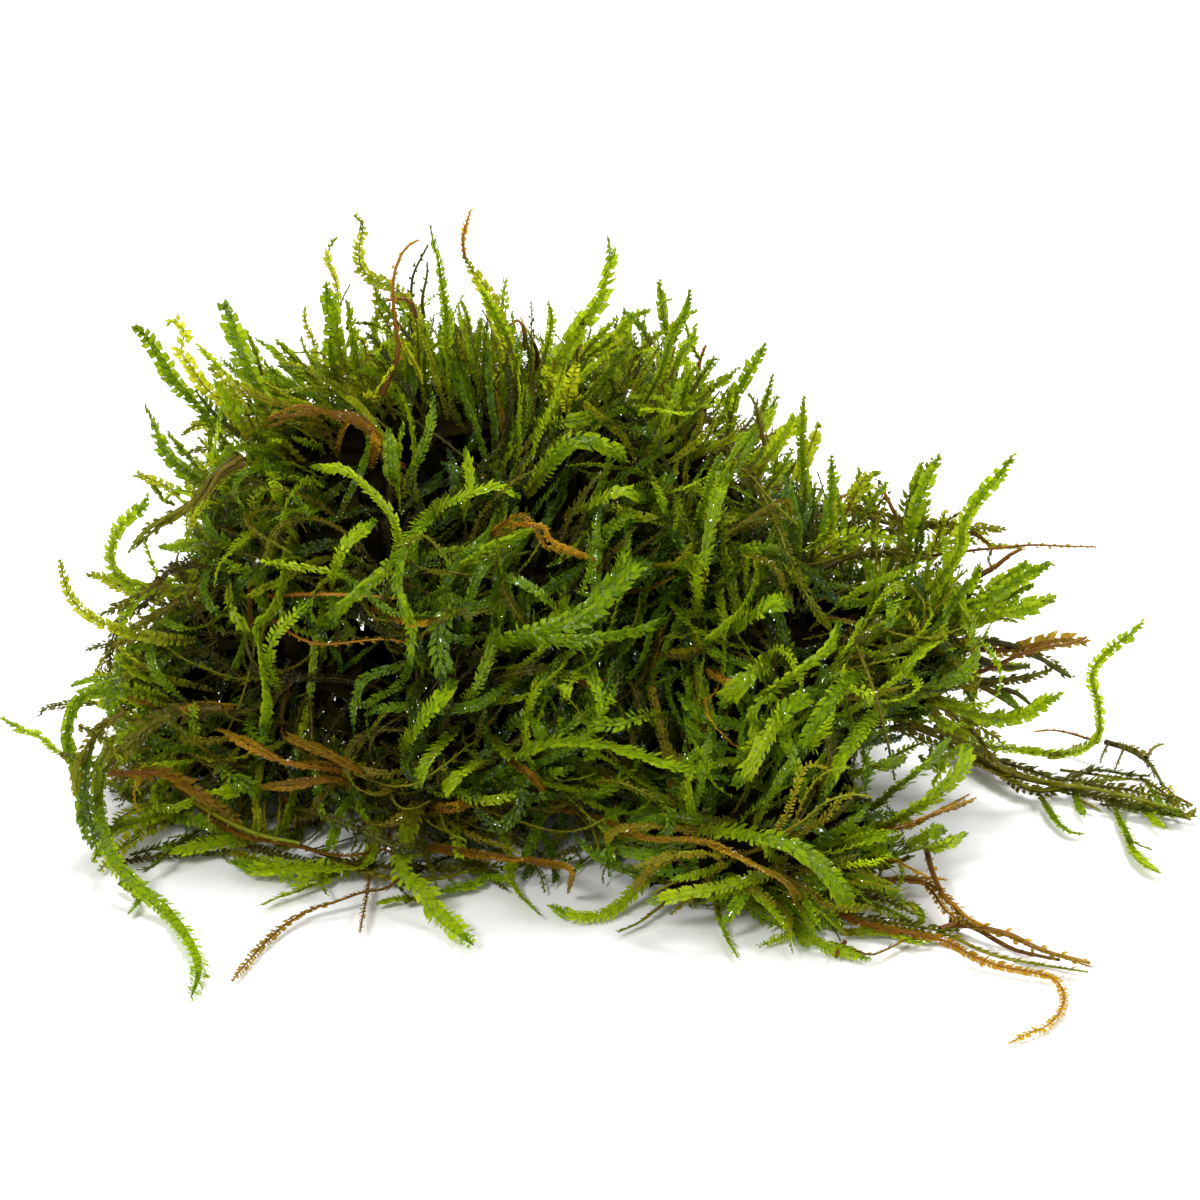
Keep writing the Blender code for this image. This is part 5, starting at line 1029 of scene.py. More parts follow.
def add_shoot(growth, name, width, points, facing, rng, near=True, tone=None):
    """A shoot of a kind along a route. A near one has finer leaves, and its stem is always there."""
    look = KINDS[name]
    route = smooth_route(points)
    run = np.linspace(0, len(route) * STEP / TWIST_LENGTH, len(route))
    twist = TWIST * np.sin(run * rng.uniform(*TWIST_PACES) + rng.uniform(0, 2 * pi))
    frames = frames_along(route, np.array(facing), twist + rng.normal(0, FIRST_TURN))
    tone = rng.uniform(*look.tones) if tone is None else tone
    if near or not look.band_share:
        add_stem(growth, look, NEAR_LINK if near else DEEP_LINK, route, frames, width, tone)
    if look.band_share:
        add_band(growth, route, frames, width * look.band_share * 2, RAGGED, tone, look.leaves, rng)
    add_leaves(growth, look, NEAR_LEAF if near else DEEP_LEAF, route, frames, width, tone, rng)


# %% [markdown]
# ## Finishes
# The shader reads the chart alone: the whole part of U times 8 is the age, the rest is the place along a
# leaf, and V works the same way. A moss leaf is a single layer of cells, so light goes straight through it.
# That is a Translucent shader mixed with the wet, glossy Principled one. Long cells streak the leaf, and
# the same streaks raise a fine bump. Here and there a glossy film lies over them, and the light breaks on
# it in small sparks.

# %% Shader maths as Python expressions
def operator(operation, turned=False):
    """A method that adds a Math node. turned: with the channel as the second number."""
    def added(self, other=0.0):
        first, second = (other, self) if turned else (self, other)
        return self.finish.node("ShaderNodeMath", {"operation": operation}, {0: first, 1: second})
    return added


class Channel:
    """One output of a node. Arithmetic on it adds Math nodes."""

    def __init__(self, finish, socket):
        self.finish, self.socket = finish, socket

    __add__ = __radd__ = operator("ADD")
    __mul__ = __rmul__ = operator("MULTIPLY")
    __sub__, __rsub__ = operator("SUBTRACT"), operator("SUBTRACT", turned=True)
    __truediv__, __rtruediv__ = operator("DIVIDE"), operator("DIVIDE", turned=True)
    floor, rest, size = operator("FLOOR"), operator("FRACT"), operator("ABSOLUTE")

    def clamped(self):
        return self.finish.node("ShaderNodeClamp", {}, {"Value": self})


# %% A finish, built node by node
MIX_FACTOR, MIX_FIRST, MIX_SECOND, MIX_COLOUR = 0, 6, 7, 2
STOPS_AT_FIRST = 2


class Finish:
    """A material whose nodes are added one by one."""

    def __init__(self, name):
        self.material = bpy.data.materials.new(name)
        self.material.use_nodes = True
        self.tree = self.material.node_tree
        self.tree.nodes.clear()

    @staticmethod
    def set_stops(elements, stops):
        for i, (place, colour) in enumerate(stops):
            stop = elements[i] if i < STOPS_AT_FIRST else elements.new(place)
            stop.position, stop.color = place, (*colour, 1)

    def node(self, kind, settings, inputs, output=0):
        """A new node: its type, its settings or a ramp's stops, then the value or the link of each socket."""
        made = self.tree.nodes.new(kind)
        for key, value in settings.items():
            if key == "stops":
                self.set_stops(made.color_ramp.elements, value)
            else:
                setattr(made, key, value)
        for key, value in inputs.items():
            if isinstance(value, Channel):
                self.tree.links.new(value.socket, made.inputs[key])
            else:
                made.inputs[key].default_value = value
        return Channel(self, made.outputs[output]) if made.outputs else None

    def ramp(self, factor, stops):
        """A colour for each place from 0 to 1."""
        return self.node("ShaderNodeValToRGB", {"stops": stops}, {"Fac": factor})

    def mix(self, factor, first, second, blend="MIX"):
        settings = {"data_type": "RGBA", "blend_type": blend}
        inputs = {MIX_FACTOR: factor, MIX_FIRST: first, MIX_SECOND: second}
        return self.node("ShaderNodeMix", settings, inputs, MIX_COLOUR)

    def tinted(self, colour, tint):
        return self.mix(1.0, colour, tint if isinstance(tint, Channel) else (*tint, 1), "MULTIPLY")

    def streaks(self, uv, along, across, detail):
        """Noise on the chart, this many times finer along U and across it."""
        stretched = self.node("ShaderNodeMapping", {}, {"Vector": uv, "Scale": (along, across, 1)})
        inputs = {"Vector": stretched, "Scale": 1.0, "Detail": detail}
        return self.node("ShaderNodeTexNoise", {"noise_dimensions": "2D"}, inputs)

    def surface(self, shader):
        self.node("ShaderNodeOutputMaterial", {}, {"Surface": shader})
        return self.material


# %% Read the chart
def chart(finish):
    """The age, the place along the leaf, the tone, the place across the leaf, and the UV itself."""
    uv = finish.node("ShaderNodeUVMap", {"uv_map": "OFBake"}, {})
    u = finish.node("ShaderNodeSeparateXYZ", {}, {"Vector": uv}, "X") * AGES
    v = finish.node("ShaderNodeSeparateXYZ", {}, {"Vector": uv}, "Y") * TONES
    return u.floor() / (AGES - 1), u.rest(), v.floor() / (TONES - 1), v.rest(), uv


# %% Leaf finish
HALF_LIT = (0.60, 0.68, 0.55)
CELLS, CELL_TINT, CELL_SHARE, CELL_MEAN, CELL_CONTRAST = (90, 420, 2.0), (1.7, 1.5, 1.3), 0.45, 0.45, 1.5
MIDRIB, MIDRIB_EDGE = 0.16, 6
MARGIN_AND_OVERLAP_SHADE_TINT, MARGIN_FROM, MARGIN_EDGE, MARGIN_STOPS_LIGHT = (0.30, 0.42, 0.30), 0.70, 2.6, 0.75
WET_SPOTS, WET_FROM, WET_EDGE = (44, 18, 0.0), 0.61, 9
THROUGH_DULL, THROUGH_BRIGHT = 0.35, 0.8
LEAF_BUMP = {"Strength": 0.8, "Distance": 0.00018}
CELL_HEIGHT = 0.6
LEAF_SKIN = {"Roughness": 0.36, "Specular IOR Level": 0.06, "Coat Roughness": 0.06, "Coat IOR": 2.1}


def leaf_finish(name, by_age, dull, bright, glow, see_through, wet, darker_margin_and_overlap_shade=0.75):
    """by_age: colours from the shoot's foot to its tip. dull and bright: what the tone multiplies them by. In
    the tangle the tone also paints shade and light.
    """
    finish = Finish(name)
    age, along, tone, across, uv = chart(finish)
    by_tone = finish.ramp(tone, [(0, dull), (0.5, HALF_LIT), (1, bright)])
    colour = finish.tinted(finish.ramp(age, by_age), by_tone)
    cells = finish.streaks(uv, *CELLS)
    lighter = ((MIDRIB - across) * MIDRIB_EDGE + (cells - CELL_MEAN) * CELL_CONTRAST).clamped()
    colour = finish.mix(lighter * CELL_SHARE, colour, finish.tinted(colour, CELL_TINT))
    # Darker towards each leaf's edge, base and tip: partly the margin's own colour, partly painted shade
    # where the leaves overlap
    to_margin = across + (along * 2 - 1).size()
    margin = ((to_margin - MARGIN_FROM) * MARGIN_EDGE).clamped()
    colour = finish.mix(margin * darker_margin_and_overlap_shade, colour, finish.tinted(colour, MARGIN_AND_OVERLAP_SHADE_TINT))
    film = ((finish.streaks(uv, *WET_SPOTS) - WET_FROM) * WET_EDGE).clamped()
    bump = finish.node("ShaderNodeBump", {}, {**LEAF_BUMP, "Height": cells * CELL_HEIGHT + film})
    leaf_skin = finish.node(
        "ShaderNodeBsdfPrincipled", {},
        {**LEAF_SKIN, "Base Color": colour, "Coat Weight": film * wet, "Normal": bump})
    through = finish.node("ShaderNodeBsdfTranslucent", {}, {"Color": (*glow, 1)})
    clear = 1 - margin * darker_margin_and_overlap_shade * MARGIN_STOPS_LIGHT
    factor = see_through * clear * (THROUGH_DULL + tone * THROUGH_BRIGHT)
    return finish.surface(finish.node("ShaderNodeMixShader", {}, {0: factor, 1: leaf_skin, 2: through}))


# %% Stem finish
BARK, BARK_TINT, BARK_SHARE = (60, 200, 3.0), (0.35, 0.32, 0.30), 0.8
STEM_BUMP = {"Strength": 0.6, "Distance": 0.00012}
STEM_COAT_ROUGHNESS = 0.1


def stem_finish(name, by_age, dull, bright, roughness=0.42, gloss=0.12, wet=0.06):
    """A bare stem: streaks of darker bark, a faint gloss and no light through it."""
    finish = Finish(name)
    age, _, tone, _, uv = chart(finish)
    colour = finish.tinted(finish.ramp(age, by_age), finish.ramp(tone, [(0, dull), (1, bright)]))
    bark = finish.streaks(uv, *BARK)
    colour = finish.mix(bark * BARK_SHARE, colour, finish.tinted(colour, BARK_TINT))
    bump = finish.node("ShaderNodeBump", {}, {**STEM_BUMP, "Height": bark})
    return finish.surface(finish.node(
        "ShaderNodeBsdfPrincipled", {},
        {"Base Color": colour, "Roughness": roughness, "Specular IOR Level": gloss, "Coat Weight": wet,
         "Coat Roughness": STEM_COAT_ROUGHNESS, "Normal": bump}))


# %% Mix the finishes
FINISHES = [
    leaf_finish(
        "fresh moss leaves",
        [(0, (0.110, 0.105, 0.006)), (0.25, (0.160, 0.270, 0.006)), (0.86, (0.300, 0.490, 0.008)),
         (1, (0.100, 0.230, 0.007))],
        (0.11, 0.14, 0.10), (1.90, 1.50, 1.0), (0.62, 0.78, 0.015), 0.40, 1.0),
    leaf_finish(
        "pale moss leaves",
        [(0, (0.200, 0.180, 0.010)), (0.4, (0.420, 0.450, 0.012)), (0.86, (0.560, 0.620, 0.020)),
         (1, (0.060, 0.130, 0.010))],
        (0.35, 0.38, 0.35), (1.3, 1.25, 0.9), (0.80, 0.82, 0.03), 0.5, 0.8),
    leaf_finish(
        "old moss leaves",
        [(0, (0.090, 0.064, 0.008)), (0.5, (0.145, 0.120, 0.007)), (1, (0.200, 0.205, 0.008))],
        (0.14, 0.14, 0.12), (2.1, 1.8, 1.0), (0.50, 0.46, 0.02), 0.36, 0.6),
    leaf_finish(
        "dried moss leaves",
        [(0, (0.185, 0.070, 0.007)), (0.5, (0.360, 0.178, 0.010)), (1, (0.510, 0.335, 0.019))],
        (0.28, 0.23, 0.2), (1.5, 1.5, 1.2), (0.82, 0.50, 0.03), 0.50, 1.0, 0.3),
    stem_finish(
        "olive moss stems",
        [(0, (0.110, 0.078, 0.006)), (0.5, (0.170, 0.160, 0.006)), (1, (0.190, 0.240, 0.007))],
        (0.4, 0.4, 0.4), (1.7, 1.7, 1.2)),
    stem_finish(
        "rust moss stems",
        [(0, (0.140, 0.053, 0.008)), (0.6, (0.260, 0.114, 0.010)), (1, (0.370, 0.205, 0.014))],
        (0.5, 0.45, 0.4), (1.6, 1.5, 1.2)),
    # Painted shade: a near-black film that stands in for the shade deep in the hollows
    stem_finish(
        "painted shade film",
        [(0, (0.009, 0.007, 0.002)), (1, (0.014, 0.014, 0.003))],
        (0.5, 0.5, 0.5), (1.8, 1.6, 1.2), 1.0, 0.0, 0.0),
]
print("finishes:", ", ".join(finish.name for finish in FINISHES))

# %% Hand a piece over
SLOTS = {
    "fresh": "fresh_moss", "tip": "fresh_moss", "pale": "pale_moss", "olive": "olive_stem",
    "bare": "olive_stem", "rust": "rust_stem", "dry": "rust_stem",
}
made_pieces = []


def finish_piece(growth, name, slot, nodes):
    """Turns a growth into a piece of the clump that stands for these solids."""
    piece = growth.piece(name, FINISHES)
    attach(piece, "root")
    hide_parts(*nodes)
    made_pieces.append((name, growth.triangles()))


# %% [markdown]
# ## Grow the shoots that have a solid each
# The drawn rows become routes in space. A standing shoot's depth goes evenly from its base's to its tip's.
# One that lies on the table comes down from where it leaves the cushion and has settled after two thirds of
# its way. Shoots behind aren't seen, so each is given by a direction and bends up from the cushion.

# %% Routes of the standing, lying and hidden shoots
UPWARDS = Vector((0, 0, 1))
STANDING_SHARE, LYING_SHARE = 1.3, 1.2
SETTLED_BY = 0.62


def shares(points):
    """How far along the row each point is, from 0 to 1."""
    return [i / (len(points) - 1) for i in range(len(points))]


def standing_route(base, tip, points):
    return [seen(*p, between(base, tip, share)) for p, share in zip(points, shares(points))]


def lying_route(base, tip, points):
    settled = [between(base, tip, min(1, share / SETTLED_BY)) for share in shares(points)]
    return [on_ground(*p, height) for p, height in zip(points, settled)]


def level(degrees):
    """A level direction, counted from the right as seen from above."""
    return Vector((cos(radians(degrees)), sin(radians(degrees)), 0))


def back_route(angle, height, length, rise):
    """A shoot behind: it leaves the cushion outwards and bends up towards its tip."""
    out = level(angle)
    drawn_in = 1 - DRAWN_IN_AT_TOP * (height / TOP_OF_MAT) ** 2
    root = BACK_MIDDLE + Vector((out.x * BACK_REACH.x, out.y * BACK_REACH.y, 0)) * drawn_in
    root.z = height
    points = [root]
    for i in range(1, BACK_STEPS + 1):
        climb = radians(rise) * i / BACK_STEPS
        points.append(points[-1] + (out * cos(climb) + Vector((0, 0, sin(climb)))) * length / BACK_STEPS)
    return points


def tip_like(look):
    """Fresh shoots that stand free are looser at their tips."""
    return "tip" if look == "fresh" else look


routes = []
for name, look, width, base, tip, points in STANDING:
    route = standing_route(base, tip, points)
    routes.append((name, tip_like(look), width * STANDING_SHARE, route, TOWARDS_EYE))
for name, look, width, base, tip, points in WIRY:
    route = standing_route(base, tip, points)
    routes.append((name, "bare" if look == "olive" else "dry", width, route, TOWARDS_EYE))
for name, look, width, base, tip, points in LYING:
    routes.append((name, look, width * LYING_SHARE, lying_route(base, tip, points), UPWARDS))
name, look, width, points = RISING
route = [seen(*point) for point in points]
routes.append((name, tip_like(look), width * STANDING_SHARE, route, TOWARDS_EYE))
for name, angle, height, length, rise, width, look in BEHIND:
    routes.append((name, look, width * LYING_SHARE, back_route(angle, height, length, rise), UPWARDS))
print(len(routes), "routes")

# %% Grow them
ROOTED_FROM, ROOTED_TO = 1.0, 9.0
BUNDLE_STEMS, BUNDLE_APART, BUNDLE_WIDTH, BUNDLE_TONES = 5, 0.3, 0.42, (2, 7)
DRIED_POINTS, DRIED_WIDTH, DRIED_TONE = 4, 0.8, 7


def any_way(rng):
    """A random direction."""
    return Vector(rng.normal(0, 1, 3)).normalized()


def rooted(points):
    """The points, led to the cushion where they start a little clear of it."""
    height, _ = height_over_skin(points[0])
    if ROOTED_FROM < height < ROOTED_TO:
        return [skin.find_nearest(points[0])[0], *points]
    return points


def side_by_side(points, strands, apart, rng):
    """Routes of thin strands that run together and cross each other now and then."""
    return [[point + any_way(rng) * apart for point in points] for _ in range(strands)]


for i, (name, look, width, route, facing) in enumerate(routes):
    growth = Growth()
    rng = np.random.default_rng(i)
    if name == "left_stem_bundle":
        for strand in side_by_side(route, BUNDLE_STEMS, width * BUNDLE_APART, rng):
            tone = rng.uniform(*BUNDLE_TONES)
            add_shoot(growth, "bare", width * BUNDLE_WIDTH, strand, facing, rng, True, tone)
    elif name == "crown_shoot_8":  # its tip has dried
        add_shoot(growth, look, width, rooted(route[:-DRIED_POINTS + 1]), facing, rng)
        add_shoot(growth, "rust", width * DRIED_WIDTH, route[-DRIED_POINTS:], facing, rng, True, DRIED_TONE)
    else:
        add_shoot(growth, look, width, rooted(route), facing, rng)
    finish_piece(growth, name + "_leafy", SLOTS[look], [name])
print(len(made_pieces), "shoots,", sum(count for _, count in made_pieces), "triangles")

# %% [markdown]
# ## Grow the ribbons, edge tips and loose strands
# A ribbon lies on the cushion's face: both its ends dip into the tangle and its middle is lifted clear of
# it. A dried ribbon is a few thin strands side by side. The strands on the table belong to the arm or to
# the foot.

# %% Ribbons on the face
HAND_DRAWN_SEED = 100
RIBBON_LIFT, RIBBON_DIP, RIBBON_SHARE = 4.4, 0.8, 1.05
RIBBON_RISE, RIBBON_FALL, RIBBON_TIP = 3, 4, 0.5
RUST_STRANDS, RUST_APART, RUST_SHARE = 3, 0.4, 0.5
face_growth = Growth()
rng = np.random.default_rng(HAND_DRAWN_SEED)
for look, width, points in RIBBONS:
    ends = [min(1, RIBBON_RISE * s, RIBBON_FALL * (1 - s) + RIBBON_TIP) for s in shares(points)]
    route = [on_skin(*p, RIBBON_LIFT * (2 * end - RIBBON_DIP)) for p, end in zip(points, ends)]
    if look == "rust":
        for strand in side_by_side(route, RUST_STRANDS, width * RUST_APART, rng):
            add_shoot(face_growth, look, width * RUST_SHARE, strand, TOWARDS_EYE, rng)
    else:
        add_shoot(face_growth, look, width * RIBBON_SHARE, route, TOWARDS_EYE, rng)
finish_piece(face_growth, "face_ribbons", "fresh_moss", ["tangled_mat"])

# %% Edge tips and strands on the table
EDGE_SHARE, STRAND_SHARE = 1.35, 1.1
ARM_FROM, ARM_ABOVE = 37, -25
edge_growth = Growth()
for look, width, back, points in EDGE_TIPS:
    route = [seen(*point, back) for point in points]
    add_shoot(edge_growth, tip_like(look), width * EDGE_SHARE, route, TOWARDS_EYE, rng)
finish_piece(edge_growth, "edge_tips", "fresh_moss", ["tangled_mat"])

arm_growth, foot_growth = Growth(), Growth()
for look, width, height, points in STRANDS:
    route = [on_ground(*point, height) for point in points]
    across, up = points[-1]
    growth = arm_growth if across > ARM_FROM and up > ARM_ABOVE else foot_growth
    add_shoot(growth, look, width * STRAND_SHARE, route, UPWARDS, rng)
finish_piece(arm_growth, "right_arm_strands", "olive_stem", ["right_arm"])
finish_piece(foot_growth, "foot_strands", "fresh_moss", ["tangled_mat"])
print(made_pieces[-4:])

# %% [markdown]
# ## Grow the cushion
# A shoot starts somewhere near the skin and wanders. At each step it turns a little with a slow noise, so
# that neighbours sway together, and is pulled towards the height over the skin that it likes. Deep ones
# stay inside, and their colour is darkened as painted shade. The others run along the face. On the crown
# they stand up, and at the foot they spread out over the table. None goes far beyond the clump's outline
# as the eye sees it.

# %% The cushion's outline as the eye sees it, across and up in millimetres
OUTLINE = [
    (-50, -18), (-49, -10), (-47.5, -4), (-44, 1), (-41, 5.5), (-40, 12), (-41, 17), (-39, 21), (-34.5, 23),
    (-28, 24.8), (-23, 26), (-16, 28), (-10, 28), (-6, 25), (0, 25.5), (6, 26), (10, 23), (14, 18.5),
    (18, 12.5), (23, 10.5), (28, 9.3), (33, 8), (36.5, 4), (37, -1), (37, -8.5), (30, -10.5), (25.5, -13.5),
    (24.5, -17), (28, -21.5), (29.5, -27), (26, -33), (20, -34.8), (13, -34), (10, -30), (4, -27),
    (-4, -27.8), (-10, -28), (-17, -28), (-27, -26), (-35, -24), (-43, -23.5), (-48, -23)]
outline = np.array(OUTLINE, dtype=float)
outline_next = np.roll(outline, -1, axis=0)


def beyond_outline(point):
    """How far a point is outside the outline as seen. Zero inside."""
    across, up = as_seen(point)
    crosses = (outline[:, 1] > up) != (outline_next[:, 1] > up)
    rise = np.where(crosses, outline_next[:, 1] - outline[:, 1], 1)
    at = outline[:, 0] + (up - outline[:, 1]) * (outline_next[:, 0] - outline[:, 0]) / rise
    if (crosses & (across < at)).sum() % 2:
        return 0
    edge, to_point = outline_next - outline, (across, up) - outline
    share = np.clip((edge * to_point).sum(axis=1) / (edge**2).sum(axis=1), 0, 1)
    return float(np.linalg.norm(to_point - edge * share[:, None], axis=1).min())


print(len(OUTLINE), "points round the cushion")

# %% Wandering shoots
WALK, LEAST_WALKS = 1.6, 3
SWAY, SWAY_SIZE, STRAY_WAY = 0.40, 14.0, 0.16
TOO_HIGH, FASTER_DOWN = 1, 3
GROUND = 0.7
noise.seed_set(3)  # without it the noise differs from run to run


def wander(start, heading, length, height, hug, lift, slack, rng):
    """A route from a start. It ends early where it would leave the clump's outline by more than the slack."""
    point, points, heading = start.copy(), [start.copy()], heading.normalized()
    for _ in range(max(LEAST_WALKS, round(length / WALK))):
        out, normal = height_over_skin(point)
        heading = heading + SWAY * noise.noise_vector(point / SWAY_SIZE) + STRAY_WAY * any_way(rng)
        pull = hug if out < height + TOO_HIGH else FASTER_DOWN * hug
        heading += normal * pull * (height - out)
        heading.z += lift
        heading.normalize()
        point = point + heading * WALK
        point.z = max(point.z, GROUND)
        if beyond_outline(point) > slack:
            break
        points.append(point.copy())
    return points


# %% Spots on the skin
BEHIND_CHANCE, BARE_BELOW = 0.62, 1.5
chances, centres = [], []
for face in skin_faces:
    a, b, c = (skin_corners[i] for i in face[:3])
    middle = sum((skin_corners[i] for i in face), Vector()) / len(face)
    centres.append(middle)
    area = (b - a).cross(c - a)
    chance = area.length * (1 if area.dot(TOWARDS_EYE) > 0 else BEHIND_CHANCE)
    chances.append(chance if middle.z > BARE_BELOW else 0)
chances = np.array(chances) / sum(chances)


def random_spots(count, rng):
    """Points of the skin with its direction there, above the foot."""
    for i in rng.choice(len(centres), count, p=chances):
        yield centres[i], height_over_skin(centres[i])[1]


print("shoots can start from", (chances > 0).sum(), "faces")

# %% Which way the shoots run, and of what kinds they are, by place on the sight plane
# across, up, way across, way up, the shares of green, pale, loose, olive, bare and rust, and painted light
# and shade: how much lighter their tone is, darker below zero
FLOW = [
    (-36, 20, -0.4, 1.0, 5, 4, 4, 1, 0.5, 0.1, 1.8),
    (-20, 26, 0.0, 1.0, 5, 3.5, 4, 1, 0.8, 0.1, 1.7),
    (-2, 24, 0.3, 0.8, 4, 2.5, 4, 2, 1.2, 0.1, 1.5),
    (12, 20, 0.5, 0.7, 4, 1.5, 4, 3, 1.6, 0.1, 1.2),
    (25, 10, 0.7, 0.6, 4, 1, 3, 4, 2.0, 0.1, 0.8),
    (35, 2, 0.9, 0.3, 3, 1, 3, 5, 2.0, 0.2, 0.8),
    (-14, 10, 0.5, 0.8, 5, 0, 3, 3, 1.0, 0.2, -0.6),
    (-32, 8, -0.2, 0.9, 4, 0, 3, 3, 0.8, 0.2, 0.9),
    (2, 6, 0.8, 0.6, 5, 0, 3, 3, 1.0, 0.1, -0.6),
    (-14, -6, 0.4, 0.9, 5, 0, 3, 4, 1.5, 0.2, -1.2),
    (0, -8, 0.6, 0.7, 6, 0, 3, 3, 1.0, 0.1, -0.2),
    (15, -10, 0.8, 0.7, 9, 1, 2, 1, 0.3, 0.0, 0.0),
    (27, -20, 0.8, 0.6, 9, 1, 2, 1, 0.5, 0.1, 0.3),
    (36, -12, 0.9, 0.1, 3, 1, 3, 4, 2.0, 0.3, 0.8),
    (-30, -6, -0.1, -0.9, 2, 0, 3, 6, 1.5, 0.4, 0.2),
    (-42, 2, -0.6, 0.7, 2, 3, 4, 4, 0.8, 0.3, 1.9),
    (-45, -12, -0.9, -0.1, 1.5, 3, 3, 5, 1.0, 0.7, 2.0),
    (-22, -20, 0.9, -0.2, 2.0, 0, 2, 7, 2.0, 1.0, 1.1),
    (0, -24, 0.9, 0.0, 4, 0, 3, 4, 1.2, 0.7, 2.5),
    (18, -30, 0.9, 0.1, 6, 0, 3, 3, 1.5, 0.4, 2.5),
]
FLOW_KINDS = ("green", "pale", "loose", "olive", "bare", "rust")
FLOW_BLUR = 9
TURNED_SHARE, TURNED_BELOW, FLOW_STRAY = 0.25, 15, 0.65
flow_rows = np.array(FLOW)


def flow_at(spot, rng):
    """The way at a spot, as a direction in space, the shares of the kinds, and the painted light and shade
    added to their tone.
    """
    across, up = as_seen(spot)
    nearness = 1 / (FLOW_BLUR + (flow_rows[:, 0] - across) ** 2 + (flow_rows[:, 1] - up) ** 2) ** 2
    blend = nearness @ flow_rows / nearness.sum()
    turned = -1 if rng.random() < TURNED_SHARE and up < TURNED_BELOW else 1
    way = (Vector((blend[2], 0, 0)) + SIGHT_UP * blend[3]) * turned + any_way(rng) * FLOW_STRAY
    return way, blend[4:10] / blend[4:10].sum(), blend[10]


# %% Dark hollows, where no shoot starts at the surface
hollows = []
for across, up, radius in FACE_HOLLOWS:
    hollows.append((on_skin(across, up, 0), radius * BARE_SHARE))
for direction, height, radius in BACK_HOLLOWS:
    out = level(direction)
    behind = Vector((BACK_MIDDLE.x, BACK_MIDDLE.y, height)) + out * SIGHT_DISTANCE
    hollows.append((skin.ray_cast(behind, -out)[0], radius * BARE_SHARE))
print(len(hollows), "hollows")


def in_hollow(spot):
    return any((spot - middle).length < radius for middle, radius in hollows)


# %% [markdown]
# ## The short shoots of the solid
# The cushion's solid has short shoots of its own. Each is found again as a group of its corners that stands
# well out of the skin, three corners to a ring, and its middle line becomes the route of a leafy shoot.

# %% Find the middle line of each
STANDS_OUT_FROM, TIP_FROM = 1.5, 3.2
RING = 3


def groups_that_stand_out(bm):
    """Groups of joined corners, in millimetres, that stand out of the skin."""
    bm.verts.index_update()
    left = {vert.index: vert for vert in bm.verts if height_over_skin(vert.co / MM)[0] > STANDS_OUT_FROM}
    while left:
        group, edge_of_group = [], [left.popitem()[1]]
        while edge_of_group:
            vert = edge_of_group.pop()
            group.append(vert.co / MM)
            for edge in vert.link_edges:
                other = edge.other_vert(vert)
                if left.pop(other.index, None):
                    edge_of_group.append(other)
        yield group


def short_routes(node):
    """From the foot of each short shoot on the skin, through the middles of its rings, to its tip."""
    bm = merged(node.data)
    found = []
    for group in groups_that_stand_out(bm):
        tip = max(group, key=lambda corner: height_over_skin(corner)[0])
        if len(group) < 2 * RING or height_over_skin(tip)[0] < TIP_FROM:
            continue
        foot = skin.find_nearest(sum(group, Vector()) / len(group))[0]
        group.sort(key=lambda corner: (corner - foot).dot(tip - foot))
        rings = [sum(group[i:i + RING], Vector()) / RING for i in range(0, len(group) - RING + 1, RING)]
        found.append([foot, *rings, tip])
    bm.free()
    return found


short_shoots = short_routes(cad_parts["tangled_mat"])
print(len(short_shoots), "short shoots on the solid")

# %% [markdown]
# ## The layers of the tangle
# The tangle is grown in three layers, from the inside out: near-black flat sheets that close the hollows
# and stand in for their shade, a middle layer in the shade whose colour is also darkened as painted shade,
# and the green outer one. Each place of the clump gets a piece of its own, so no piece grows too large:
# the crown, the front, the right side and the back.

# %% Where a shoot grows
PLACES = ("crown", "front", "right", "back")
LEVEL_FROM, LEVEL_RISE, CROWN_ABOVE, LOWER_STAND = 0.25, 2, 20, 0.4
BACK_FROM, RIGHT_FROM = 0.1, 8


def stands_up(spot, normal):
    """How upright shoots stand here, from 0 to 1."""
    return min(1, max(0, normal.z - LEVEL_FROM) * LEVEL_RISE) * (1 if spot.z > CROWN_ABOVE else LOWER_STAND)


def place_of(spot, normal):
    if stands_up(spot, normal) > LOWER_STAND:
        return "crown"
    return "back" if normal.y > BACK_FROM else "front" if spot.x < RIGHT_FROM else "right"


def under(spot, normal, depth):
    """The point this far under a spot of the skin, and above the ground."""
    start = spot - normal * depth
    start.z = max(start.z, GROUND)
    return start


def along_skin(way, normal):
    return (way - normal * way.dot(normal)).normalized()


# %% The route of a shoot of the tangle
FOOT_BELOW, FOOT_OUT, FOOT_LENGTH, FOOT_HEIGHT, FOOT_SINK = 8, 0.5, 0.7, 1.2, -0.06
CROWN_OUT, CROWN_STRAY, CROWN_LENGTHS, CROWN_CLIMB = 0.4, 0.5, (0.45, 0.8), 0.04
FACE_HUG, FACE_OUT = 0.08, 0.25


def tangle_route(spot, normal, start, way, length, height, slack, rng):
    """Over the table at the foot, upwards on the crown, and along the skin in between."""
    if spot.z < FOOT_BELOW:
        out = Vector((normal.x, normal.y, 0)).normalized()
        way = out * FOOT_OUT + way
        return wander(start, way, length * FOOT_LENGTH, FOOT_HEIGHT, 0, FOOT_SINK, slack, rng)
    if stands_up(spot, normal) > LOWER_STAND:
        way = way + normal * CROWN_OUT + any_way(rng) * CROWN_STRAY
        return wander(start, way, length * rng.uniform(*CROWN_LENGTHS), height, 0, CROWN_CLIMB, slack, rng)
    way = along_skin(way, normal) + normal * FACE_OUT
    return wander(start, way, length, height, FACE_HUG, 0.0, slack, rng)


